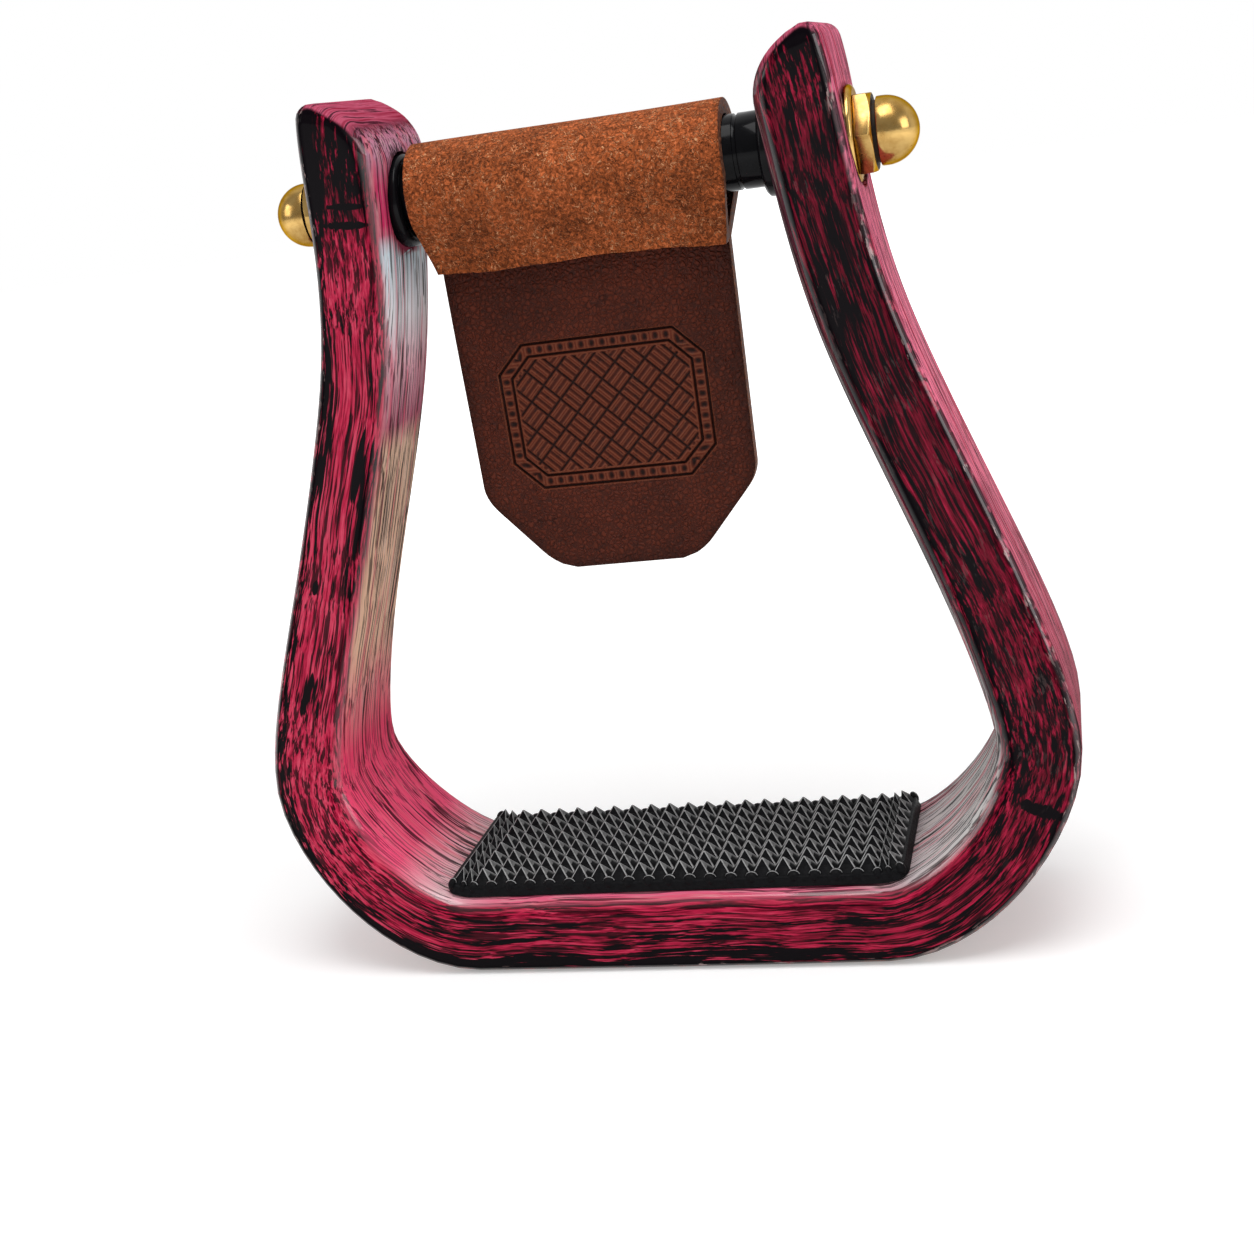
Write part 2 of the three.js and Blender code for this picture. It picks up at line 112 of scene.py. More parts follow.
def lengths(name, default, description):
    """Several sizes in metres for the sidebar"""
    return FloatVectorProperty(
        name=name, description=description, default=default, size=len(default), unit="LENGTH"
    )


class StirrupBandSizes(bpy.types.PropertyGroup):
    """Sizes of the bent oak band"""

    base_flat_half: length("Flat half", 0.044, "Straight part of the footbed, from its middle")
    corner_handle_flat: length("Corner run", 0.016, "How far the footbed runs on before it turns up")
    corner_handle_side: length("Corner rise", 0.013, "How far the side runs down before it turns in")
    widest_half: length("Widest half", 0.0776, "Centre line at the widest point")
    widest_height: length("Widest height", 0.0435, "Height of the widest point")
    shoulder_handle: length("Shoulder", 0.0165, "Upright stretch above the widest point")
    side_handle: length("Side", 0.026, "Easy length of the side below the neck")
    neck_half: length("Neck half", 0.0509, "Centre line where the side turns into the neck")
    neck_height: length("Neck height", 0.1295, "Height of that turn")
    neck_lean: angle("Neck lean", 15, "How far the side leans in there")
    neck_handle: length("Neck", 0.024, "Easy length of the neck")
    tip_half: length("Tip half", 0.0426, "Centre line at the top of the neck")
    tip_height: length("Tip height", 0.182, "Height of the top of the neck")
    tip_lean: angle("Tip lean", 17, "How far the top leans in")
    tip_handle: length("Tip", 0.010, "Easy length of the top")
    footbed_thickness: length("Footbed thickness", 0.017, "Thickness of the band at the footbed")
    tip_thickness: length("Tip thickness", 0.0151, "Thickness of the band at its tips")
    half_depths: lengths("Half depths", (0.022, 0.022, 0.0214, 0.0172, 0.0133, 0.0128, 0.0139, 0.0186),
                         "Half of the depth along the foot, at even steps from the middle to the tip")
    inner_edge_round: length("Inner edge", 0.0046, "Radius of the edges towards the foot")
    outer_edge_round: length("Outer edge", 0.0024, "Radius of the outer edges")
    tip_inner_round: length("Tip inner round", 0.0115, "Radius of the tip's inner corner")
    tip_outer_round: length("Tip outer round", 0.0026, "Radius of the tip's outer corner")
    tip_corner_round: length("Tip side round", 0.003, "Radius of the tip's front and back corners")
    bolt_hole: length("Bolt hole", 0.0103, "Diameter of the bolt hole")
    seat_margin: length("Seat margin", 0.0006, "How much wider a seat is than its piece, on the radius")
    seat_gap: length("Seat gap", 0.0001, "How much deeper a seat is than its piece")


class StirrupTreadSizes(bpy.types.PropertyGroup):
    """Sizes of the studded rubber tread"""

    pitch: length("Stud pitch", 0.0044, "Distance from stud to stud")
    columns: IntProperty(name="Columns", description="Studs along the footbed", default=24, min=2)
    rows: IntProperty(name="Rows", description="Studs along the foot", default=8, min=2)
    stud_height: length("Stud height", 0.0030, "Height of a stud over the sheet")
    stud_foot: length("Stud foot", 0.0047, "Side of a stud's square foot")
    stud_top: length("Stud top", 0.00032, "Radius of a stud's blunt top")
    face_inset: length("Face inset", 0.00042, "Border of a stud's pressed-in faces")
    face_depth: length("Face depth", 0.00010, "How far a stud's faces are pressed in")
    ridge_round: length("Ridge round", 0.00020, "Width of a stud's rubbed ridges")
    top_round: length("Top round", 0.00011, "Easing of a stud's top")
    skirt_height: length("Skirt height", 0.0016, "Height of the round skirt at a stud's foot")
    bump_radius: length("Bump radius", 0.0014, "Radius of the bumps along the two long borders")
    thickness: length("Sheet thickness", 0.0022, "Thickness of the sheet under the studs")
    border: length("Border", 0.0012, "Plain border round the studs")
    border_round: length("Border round", 0.0005, "Rounding of the sheet's upper edge")
    corner_round: length("Corner radius", 0.003, "Radius of the sheet's corners")
    glue_line: length("Glue line", 0.00008, "Gap between sheet and wood")


class StirrupKeeperSizes(bpy.types.PropertyGroup):
    """Sizes of the folded leather keeper"""

    thickness: length("Strap thickness", 0.003, "Thickness of the leather")
    roller_gap: length("Roller gap", 0.00035, "Gap between strap and roller")
    layer_gap: length("Layer gap", 0.0003, "Gap between front edge and flap")
    hug: angle("Hug", 12, "How far below level the strap follows the roller")
    pinch_drop: length("Pinch drop", 0.0122, "Where the two layers come together, below the bolt")
    edge_drop: length("Front edge drop", 0.0154, "Raw front edge, below the bolt")
    shoulder_drop: length("Shoulder drop", 0.004, "Where the wrap starts to narrow, below the bolt")
    flap_top_inset: length("Flap top inset", 0.002, "How much narrower the flap's top is, on each side")
    flap_low_inset: length("Flap low inset", 0.0025, "How much narrower the flap's foot is, on each side")
    flap_bottom_half: length("Flap bottom half", 0.0148, "Half of the flap's lower edge")
    flap_corner_height: length("Cut corner height", 0.016, "Height of the two cut corners")
    flap_corner_round: length("Cut corner round", 0.0038, "Easing of the cut corners")
    panel_width: length("Panel width", 0.044, "Width of the stamped panel")
    panel_height: length("Panel height", 0.031, "Height of the stamped panel")
    panel_corner: length("Panel corner", 0.006, "What its cut corners take off each side")
    panel_drop: length("Panel drop", 0.0462, "Middle of the stamped panel, below the bolt")
    weave_pitch: length("Weave pitch", 0.0044, "Side of one cell of the basket weave")
    bead_pitch: length("Bead pitch", 0.0022, "Distance between the beads of the border")
    panel_depth: length("Stamping depth", 0.0007, "How deep the stamps go")


class StirrupHardwareSizes(bpy.types.PropertyGroup):
    """Sizes of the bolt line pieces"""

    roller_wall: length("Roller wall", 0.0018, "Wall of the roller tube")
    roller_ring_inset: length("Ring inset", 0.0062, "Fine turned ring, from the roller's end")
    roller_ring_width: length("Ring width", 0.0008, "Width of that ring")
    roller_ring_depth: length("Ring depth", 0.0003, "Depth of that ring")
    roller_chamfer: length("Roller chamfer", 0.0005, "Chamfer of the roller's ends")
    collar_wall: length("Collar wall", 0.0012, "Closed side of the collar")
    collar_chamfer: length("Collar chamfer", 0.0006, "Chamfer of the collar's mouth")
    running_clearance: length("Running clearance", 0.00035, "Between roller and collar, on the radius")
    bolt_clearance: length("Bolt clearance", 0.0004, "Round the bolt in a collar, on the radius")
    brass_clearance: length("Brass clearance", 0.0003, "Round the bolt in a washer or nut, on the radius")
    bolt_diameter: length("Bolt diameter", 0.0095, "Diameter of the bolt")
    nut_across_flats: length("Across flats", 0.0143, "Nut size")
    nut_hex_height: length("Hex height", 0.0032, "Height of the nut's six-sided foot")
    nut_chamfer: length("Nut chamfer", 0.0007, "Height of the chamfer on the six corners")
    nut_groove_width: length("Groove width", 0.0007, "Shadow groove between foot and dome")
    nut_groove_diameter: length("Groove diameter", 0.0114, "Diameter in that groove")
    nut_dome_diameter: length("Dome diameter", 0.0127, "Diameter of the dome")
    nut_dome_land: length("Dome land", 0.0012, "Straight part under the dome")
    nut_floor: length("Nut floor", 0.0036, "Brass left over the end of the threaded hole")


class StirrupFinishes(bpy.types.PropertyGroup):
    """Colours of the finishes"""

    stain: colour("Stain", (0.53, 0.018, 0.066), "Raspberry stain on the band")
    stain_light: colour("Thin stain", (0.70, 0.070, 0.135), "Where the stain is rubbed thin")
    char: colour("Charred wood", (0.0045, 0.0030, 0.0045), "Black left in the grain and along the edges")
    bare: colour("Bare oak", (0.45, 0.22, 0.09), "Oak under the footbed")
    suede: colour("Suede", (0.44, 0.104, 0.028), "Flesh side of the leather")
    grain_leather: colour("Grain leather", (0.064, 0.0118, 0.0050), "Smooth side of the leather")
    rubber: colour("Rubber", (0.006, 0.006, 0.007), "Tread rubber")
    enamel: colour("Enamel", (0.003, 0.003, 0.004), "Gloss black of the roller")
    nylon: colour("Nylon", (0.004, 0.004, 0.005), "Black of the end collars")
    brass: colour("Brass", (0.52, 0.335, 0.115), "Cap nuts and washers")


class StirrupStageSizes(bpy.types.PropertyGroup):
    """Camera, floor and lamps"""

    focal_length: number("Focal length", 49.6, "Camera lens in millimetres")
    camera_distance: length("Camera distance", 0.350, "From the camera to the point that it is aimed at")
    camera_turn: angle("Camera turn", 15.93, "How far to the right of straight ahead the camera stands")
    camera_rise: angle("Camera rise", 16.47, "How steeply the camera looks down")
    camera_roll: angle("Camera roll", -8.91, "How far the camera is tilted sideways")
    camera_aim: lengths("Camera aim", (-0.0015, -0.0146, 0.0741), "Point that the camera is aimed at")
    floor_size: length("Floor size", 6.0, "Side of the square floor")
    floor_lift: number("Floor lift", 0.30, "White added to the floor that is seen")
    key_strength: number("Key", 3.4, "Power of the overhead softbox")
    fill_strength: number("Fill", 1.6, "Power of the side softboxes")
    sky_strength: number("Sky", 0.42, "Strength of the white surroundings")


# Modelling helpers


def deselect():
    """Leaves edit mode and selects nothing"""
    if bpy.context.object and bpy.context.object.mode != "OBJECT":
        bpy.ops.object.mode_set(mode="OBJECT")
    bpy.ops.object.select_all(action="DESELECT")


def activate(obj):
    """Makes obj the one selected and active object"""
    deselect()
    obj.select_set(True)
    bpy.context.view_layer.objects.active = obj


def open_edit(obj):
    """Opens obj in edit mode with all of it selected"""
    activate(obj)
    bpy.ops.object.mode_set(mode="EDIT")
    bpy.ops.mesh.select_all(action="SELECT")


def close_edit(obj):
    """Leaves edit mode"""
    bpy.ops.object.mode_set(mode="OBJECT")
    return obj


def pick(obj, kind, test):
    """Selects what passes the test, by its place or normal, in edit mode"""
    bpy.ops.mesh.select_mode(type={"verts": "VERT", "edges": "EDGE", "faces": "FACE"}[kind])
    bpy.ops.mesh.select_all(action="DESELECT")
    mesh = bmesh.from_edit_mesh(obj.data)
    for item in getattr(mesh, kind):
        if test(item):
            item.select_set(True)
    mesh.select_flush_mode()
    bmesh.update_edit_mesh(obj.data)


def modify(obj, kind, **settings):
    """Adds a modifier and applies it"""
    activate(obj)
    modifier = obj.modifiers.new(kind.title(), kind)
    for name, value in settings.items():
        setattr(modifier, name, value)
    bpy.ops.object.modifier_apply(modifier=modifier.name)


def settle(obj, matrix=None):
    """Puts obj's place into its mesh, so that the object sits at the origin"""
    activate(obj)
    if matrix is not None:
        obj.matrix_world = matrix @ obj.matrix_world
    bpy.ops.object.transform_apply(location=True, rotation=True, scale=True)
    return obj


def join(obj, *others):
    """Joins the others into obj"""
    activate(obj)
    for other in others:
        other.select_set(True)
    bpy.ops.object.join()


def cut(obj, cutter, operation="DIFFERENCE"):
    """Cuts or intersects obj with another solid, which is used up"""
    modify(obj, "BOOLEAN", object=cutter, operation=operation, solver="EXACT")
    bpy.data.objects.remove(cutter, do_unlink=True)


def ease(obj, width, segments, degrees=30):
    """Rounds the edges that are sharper than the angle"""
    limit = math.radians(degrees)
    modify(obj, "BEVEL", width=width, segments=segments, limit_method="ANGLE", angle_limit=limit)


def bevel(obj, test, width, segments, **settings):
    """Rounds the edges that pass the test, in edit mode"""
    pick(obj, "edges", test)
    bpy.ops.mesh.bevel(offset=width, segments=segments, profile=0.5, affect="EDGES", **settings)


def repeat(obj, count, move):
    """Copies obj in a row"""
    modify(obj, "ARRAY", count=count, use_relative_offset=False, use_constant_offset=True,
           constant_offset_displace=move)


def bend(obj, points):
    """Bends obj, which lies along X, onto a flat curve of (place, left handle, right handle)"""
    deselect()
    bpy.ops.curve.primitive_bezier_curve_add()
    path = bpy.context.object
    path.data.dimensions = "2D"
    path.data.resolution_u = 48
    spline = path.data.splines[0]
    spline.bezier_points.add(len(points) - len(spline.bezier_points))
    for point, (place, left, right) in zip(spline.bezier_points, points):
        point.handle_left_type = point.handle_right_type = "FREE"
        point.co = (*place, 0)
        point.handle_left = (*left, 0)
        point.handle_right = (*right, 0)
    modify(obj, "CURVE", object=path, deform_axis="POS_X")
    bpy.data.objects.remove(path, do_unlink=True)


def smooth(obj, degrees=38):
    """Smooth shading that keeps edges sharper than the angle"""
    activate(obj)
    bpy.ops.object.shade_smooth_by_angle(angle=math.radians(degrees))


def slice_at(places):
    """Cuts rings, square to X, into the mesh that is in edit mode"""
    for x in places:
        bpy.ops.mesh.select_all(action="SELECT")
        bpy.ops.mesh.bisect(plane_co=(x, 0, 0), plane_no=(1, 0, 0))


def box(name, size, centre):
    """A block of that size at that place"""
    deselect()
    bpy.ops.mesh.primitive_cube_add(size=1, location=centre, scale=size)
    obj = bpy.context.object
    obj.name = name
    return settle(obj)


def rod(radius, start, end, height=0.0, vertices=96):
    """A cylinder along X between two places"""
    deselect()
    bpy.ops.mesh.primitive_cylinder_add(
        vertices=vertices, radius=radius, depth=end - start,
        location=((start + end) / 2, 0, height), rotation=(0, QUARTER, 0),
    )
    return settle(bpy.context.object)


def turned(name, profile, steps=96):
    """A lathe piece on the X axis: its profile is drawn point by point and spun"""
    deselect()
    bpy.ops.mesh.primitive_plane_add(size=0.001)
    obj = bpy.context.object
    obj.name = name
    open_edit(obj)
    bpy.ops.mesh.select_mode(type="VERT")
    bpy.ops.mesh.merge(type="CENTER")
    bpy.ops.mesh.select_all(action="SELECT")
    bpy.ops.transform.translate(value=(profile[0][0], 0, profile[0][1]))
    for (x0, r0), (x1, r1) in zip(profile, profile[1:]):
        bpy.ops.mesh.extrude_region_move(TRANSFORM_OT_translate={"value": (x1 - x0, 0, r1 - r0)})
    bpy.ops.mesh.select_all(action="SELECT")
    bpy.ops.mesh.spin(steps=steps, angle=2 * math.pi, center=(0, 0, 0), axis=(1, 0, 0))
    bpy.ops.mesh.select_all(action="SELECT")
    bpy.ops.mesh.remove_doubles(threshold=2e-6)
    bpy.ops.mesh.normals_make_consistent(inside=False)
    return close_edit(obj)


def twin(obj, name):
    """A copy with its own mesh, turned round for the other end of the bolt line"""
    activate(obj)
    bpy.ops.object.duplicate(linked=False)
    copy = bpy.context.object
    copy.name = name
    open_edit(copy)
    bpy.ops.transform.rotate(
        value=math.pi, orient_axis="Z", center_override=(0, 0, 0), orient_type="GLOBAL"
    )
    return close_edit(copy)


def points_of(mesh):
    """The places of a mesh's points, as rows"""
    places = np.empty(len(mesh.vertices) * 3)
    mesh.vertices.foreach_get("co", places)
    return places.reshape(-1, 3)


def move_points(mesh, places):
    """Puts a mesh's points at those places"""
    mesh.vertices.foreach_set("co", places.ravel())
    mesh.update()


def store(mesh, name, values):
    """Stores a number or a vector for each point"""
    kind, label = ("FLOAT", "value") if values.ndim == 1 else ("FLOAT_VECTOR", "vector")
    attribute = mesh.attributes.new(name, kind, "POINT")
    attribute.data.foreach_set(label, values.astype(np.float32).ravel())


def paint(obj, *finishes):
    """Gives obj its materials, each of which is made when it is first asked for"""
    colours = bpy.context.scene.stirrup_finishes
    obj.data.materials.clear()
    for name in finishes:
        maker, *values = FINISHES[name]
        obj.data.materials.append(bpy.data.materials.get(name) or maker(name, colours, *values))


def dress(obj, body, solid):
    """Gives a finished piece its body, and hides the solid that it stands for"""
    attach(obj, body)
    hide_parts(solid)
    deselect()


def dress_pair(right, solid, degrees=38):
    """Sets a right-hand piece and its twin on the bolt line"""
    left = twin(right, right.name.replace("right", "left"))
    for piece, side in ((right, "right"), (left, "left")):
        settle(piece, ON_BOLT)
        smooth(piece, degrees)
        dress(piece, "frame", f"{solid}_{side}")


# Band geometry shared by the band and the tread


def sampled(points, steps):
    """Places along a curve and their running length, as arrays"""
    t = np.linspace(0, 1, steps)[:, None]
    runs = []
    for (p0, _, p1), (p3, p2, _) in zip(points, points[1:]):
        a, b, c, d = (np.array(p) for p in (p0, p1, p2, p3))
        runs.append((1 - t) ** 3 * a + 3 * (1 - t) ** 2 * t * b + 3 * (1 - t) * t ** 2 * c + t ** 3 * d)
    line = np.concatenate([run[:-1] for run in runs] + [runs[-1][-1:]])
    return line, np.concatenate([[0], np.cumsum(np.linalg.norm(np.diff(line, axis=0), axis=1))])


def band_points(sizes):
    """The band's centre line from the left tip to the right one, as curve points"""
    lean, top = sizes.neck_lean, sizes.tip_lean
    middle = sizes.footbed_thickness / 2
    tip = (sizes.tip_half, sizes.tip_height)
    neck = (sizes.neck_half, sizes.neck_height)
    widest, waist = sizes.widest_half, sizes.widest_height
    base = (sizes.base_flat_half, middle)
    right = [
        (base, (sizes.base_flat_half / 3, middle), (base[0] + sizes.corner_handle_flat, middle)),
        (
            (widest, waist),
            (widest, waist - sizes.corner_handle_side),
            (widest, waist + sizes.shoulder_handle),
        ),
        (
            neck,
            (neck[0] + sizes.side_handle * math.sin(lean), neck[1] - sizes.side_handle * math.cos(lean)),
            (neck[0] - sizes.neck_handle * math.sin(lean), neck[1] + sizes.neck_handle * math.cos(lean)),
        ),
        (tip, (tip[0] + sizes.tip_handle * math.sin(top), tip[1] - sizes.tip_handle * math.cos(top)), tip),
    ]
    left = [tuple((-x, z) for x, z in (place, after, before)) for place, before, after in reversed(right)]
    return left + right


def centre_line(sizes):
    """Places along the band's centre line and their running length"""
    return sampled(band_points(sizes), 400)


def half_depth(sizes, share):
    """Half of the band's depth at a share of the way from the footbed's middle to the tip"""
    depths = list(sizes.half_depths)
    last = len(depths) - 1
    x = min(abs(share), 1) * last
    i = min(int(x), last - 1)
    f = x - i
    beyond = 2 * depths[last] - depths[last - 1]
    # a smooth curve through the depths, b and c being the ones on either side
    a, b, c, d = ((beyond if n > last else depths[abs(n)]) for n in (i - 1, i, i + 1, i + 2))
    bends = (2 * a - 5 * b + 4 * c - d) * f * f + (3 * b - a - 3 * c + d) * f ** 3
    return 0.5 * (2 * b + (c - a) * f + bends)


def write_grain(mesh, sizes):
    """Stores where each point lay in the straight board: along, across and outward, and how it faces"""
    line, run = centre_line(sizes)
    place = points_of(mesh)
    normal = np.empty(place.size)
    mesh.vertex_normals.foreach_get("vector", normal)
    normal = normal.reshape(-1, 3)
    flat = place[:, [0, 2]]
    batches = np.array_split(flat, len(flat) // 2000 + 1)
    nearest = np.concatenate([((batch[:, None] - line[None]) ** 2).sum(2).argmin(1) for batch in batches])
    tangent = np.gradient(line, axis=0)
    tangent = (tangent / np.linalg.norm(tangent, axis=1)[:, None])[nearest]
    outward = np.stack([tangent[:, 1], -tangent[:, 0]], 1)
    offset = flat - line[nearest]
    along = run[nearest] - run[-1] / 2 + (offset * tangent).sum(1)
    store(mesh, "grain", np.stack([along, place[:, 1], (offset * outward).sum(1)], 1))
    facing = [(normal[:, [0, 2]] * outward).sum(1), -normal[:, 1], along / run[-1] + 0.5]
    store(mesh, "facing", np.stack(facing, 1))


# Node helpers


def node(tree, kind, inputs=None, output=0, **settings):
    """Adds a node, fed by values or numbers; returns the output asked for, or all of them for None"""
    made = tree.nodes.new(kind)
    for name, value in settings.items():
        setattr(made, name, value)
    for key, value in (inputs or {}).items():
        if isinstance(value, Value):
            tree.links.new(value.socket, made.inputs[key])
        else:
            made.inputs[key].default_value = value
    return [Value(socket) for socket in made.outputs] if output is None else Value(made.outputs[output])


class Value:
    """A number, vector or colour that varies over a surface; sums with it add nodes"""

    def __init__(self, socket):
        self.socket = socket
        self.tree = socket.id_data

    def maths(self, operation, other=0.0):
        """One sum"""
        return node(self.tree, "ShaderNodeMath", {0: self, 1: other}, operation=operation)

    __add__ = partialmethod(maths, "ADD")
    __sub__ = partialmethod(maths, "SUBTRACT")
    __mul__ = partialmethod(maths, "MULTIPLY")
    __truediv__ = partialmethod(maths, "DIVIDE")
    __abs__ = partialmethod(maths, "ABSOLUTE")
    larger = partialmethod(maths, "MAXIMUM")

    def vector(self, operation, other):
        """One sum of vectors"""
        return node(self.tree, "ShaderNodeVectorMath", {0: self, 1: other}, operation=operation)

    def parts(self):
        """The three parts of a vector"""
        return node(self.tree, "ShaderNodeSeparateXYZ", {0: self}, None)

    def rise(self, low, high):
        """An even rise from 0 at one value to 1 at another"""
        return node(self.tree, "ShaderNodeMapRange", {"Value": self, "From Min": low, "From Max": high})

    def step(self, low, high, out_low=0.0, out_high=1.0):
        """A smooth step from one value to another"""
        given = {"Value": self, "From Min": low, "From Max": high, "To Min": out_low, "To Max": out_high}
        return node(self.tree, "ShaderNodeMapRange", given, interpolation_type="SMOOTHSTEP")

    def ramp(self, *stops):
        """A number or colour that follows this value through its stops"""
        made = self.tree.nodes.new("ShaderNodeValToRGB")
        self.tree.links.new(self.socket, made.inputs["Fac"])
        elements = made.color_ramp.elements
        elements.remove(elements[1])
        for place, _ in stops[1:]:
            elements.new(place)
        for element, (place, shade) in zip(elements, stops):
            element.position = place
            element.color = (*(shade if np.ndim(shade) else (shade,) * 3), 1)
        return Value(made.outputs["Color"])


def mix(factor, a, b):
    """Colour b laid over colour a where the factor is 1"""
    pair = {key: value if isinstance(value, Value) else (*value, 1) for key, value in ((6, a), (7, b))}
    return node(factor.tree, "ShaderNodeMix", {0: factor, **pair}, 2, data_type="RGBA")


def toned(shade, factor, more=0.0):
    """A colour made darker or lighter"""
    return tuple(c * factor + more for c in shade)


def group(name, values, build):
    """A node group made once: a vector and plain values go in, and the named values of build come out"""
    if name in bpy.data.node_groups:
        return bpy.data.node_groups[name]
    tree = bpy.data.node_groups.new(name, "ShaderNodeTree")
    tree.interface.new_socket("Vector", in_out="INPUT", socket_type="NodeSocketVector")
    for label, value in values.items():
        socket = tree.interface.new_socket(label, in_out="INPUT", socket_type="NodeSocketFloat")
        socket.default_value = value
    start = tree.nodes.new("NodeGroupInput")
    results = build(tree, {socket.name: Value(socket) for socket in start.outputs})
    for label in results:
        tree.interface.new_socket(label, in_out="OUTPUT", socket_type="NodeSocketFloat")
    node(tree, "NodeGroupOutput", results, None)
    return tree


def streaks_inside(tree, given):
    """Marks drawn out along the grain: an evenly spread tone, and a mask that is 1 above a level of it"""
    along, across, shift = given["Along"], given["Across"], given["Shift"]
    scale = node(tree, "ShaderNodeCombineXYZ", {0: along, 1: across, 2: across})
    moved = given["Vector"].vector("MULTIPLY", scale).vector(
        "ADD", node(tree, "ShaderNodeCombineXYZ", {0: shift, 1: shift}))
    marks = {"Vector": moved, "Scale": 1.0, "Detail": 3.0, "Roughness": 0.55}
    noise = node(tree, "ShaderNodeTexNoise", marks)
    tone = noise.rise(0.30, 0.70)
    level, softness = given["Level"], given["Softness"]
    return {"Mask": tone.step(level - softness, level + softness), "Tone": tone}


def blotches_inside(tree, given):
    """Soft blotches of one scale: plain noise, and a mask that rises from one level of it to another"""
    labels = ("Vector", "Scale", "Detail", "Roughness", "Distortion")
    noise = node(tree, "ShaderNodeTexNoise", {label: given[label] for label in labels})
    return {"Mask": noise.step(given["Low"], given["High"]), "Tone": noise}


def streaks(grain, along, across, level=0.5, softness=0.05, shift=0.0):
    """The mask and the tone of marks along the grain"""
    values = {"Along": along, "Across": across, "Shift": shift, "Level": level, "Softness": softness}
    made = group("Grain streaks", values, streaks_inside)
    return node(grain.tree, "ShaderNodeGroup", {"Vector": grain, **values}, None, node_tree=made)


def blotches(place, scale, low=0.4, high=0.6, detail=3.0, roughness=0.5, distortion=0.0):
    """The mask and the tone of blotches"""
    values = {"Scale": scale, "Detail": detail, "Roughness": roughness, "Distortion": distortion,
              "Low": low, "High": high}
    made = group("Blotches", values, blotches_inside)
    return node(place.tree, "ShaderNodeGroup", {"Vector": place, **values}, None, node_tree=made)


class Finish:
    """A material being made; plain numbers are set on its Principled shader's own sockets"""

    def __init__(self, name, constants):
        self.material = bpy.data.materials.new(name)
        self.material.use_nodes = True
        self.tree = self.material.node_tree
        self.shader = self.tree.nodes["Principled BSDF"]
        for label, value in constants.items():
            self.shader.inputs[label].default_value = value

    def place(self):
        """Object coordinates"""
        return node(self.tree, "ShaderNodeTexCoord", output="Object")

    def attribute(self, name, output="Fac"):
        """What the mesh stores for its points under that name"""
        return node(self.tree, "ShaderNodeAttribute", output=output, attribute_name=name)

    def done(self, shade, roughness, height=None, distance=0.0, strength=1.0, coat=None):
        """Feeds the shader, with a bump from a height where one is given, and returns the material"""
        sockets = {"Base Color": shade, "Roughness": roughness}
        if coat:
            sockets["Coat Weight"] = coat
        if height:
            bump = {"Height": height, "Distance": distance, "Strength": strength}
            sockets["Normal"] = node(self.tree, "ShaderNodeBump", bump)
        for label, value in sockets.items():
            self.tree.links.new(value.socket, self.shader.inputs[label])
        return self.material


# Finishes


def wander(grain):
    """The grain with a slow drift across the board, so that its lines don't run dead straight"""
    reach = 0.005
    drift = node(grain.tree, "ShaderNodeTexNoise", {"Vector": grain, "Scale": 24.0, "Detail": 2.0}, "Color")
    sideways = drift.vector("SUBTRACT", (0.5, 0.5, 0.5)).vector("MULTIPLY", (0.0, reach, reach))
    return grain.vector("ADD", sideways)


def scar(share, across, at, half_length, side, half_width, strength):
    """A dark mark in the board: full strength inside a soft patch, whose middle and halves are given"""
    along = (share - at) / half_length
    beside = (across - side) / half_width
    return (along * along + beside * beside).step(2.2, 0.2, 0.0, strength)


# places and sizes of the dark marks: share of the band, half length, place across, half width, strength
SCARS = (
    (0.0385, 0.0014, -0.20, 0.50, 0.80),
    (0.0460, 0.0016, -0.10, 0.66, 0.80),
    (0.1480, 0.0160, -0.40, 0.12, 0.85),
    (0.1760, 0.0420, -0.62, 0.30, 0.54),
    (0.2060, 0.0030, 0.40, 0.08, 1.0),
    (0.2560, 0.0100, 0.12, 0.34, 0.60),
    (0.6780, 0.0026, 0.30, 0.60, 0.80),
)
# half of the band's usual thickness
HALF_BOARD = 0.0078


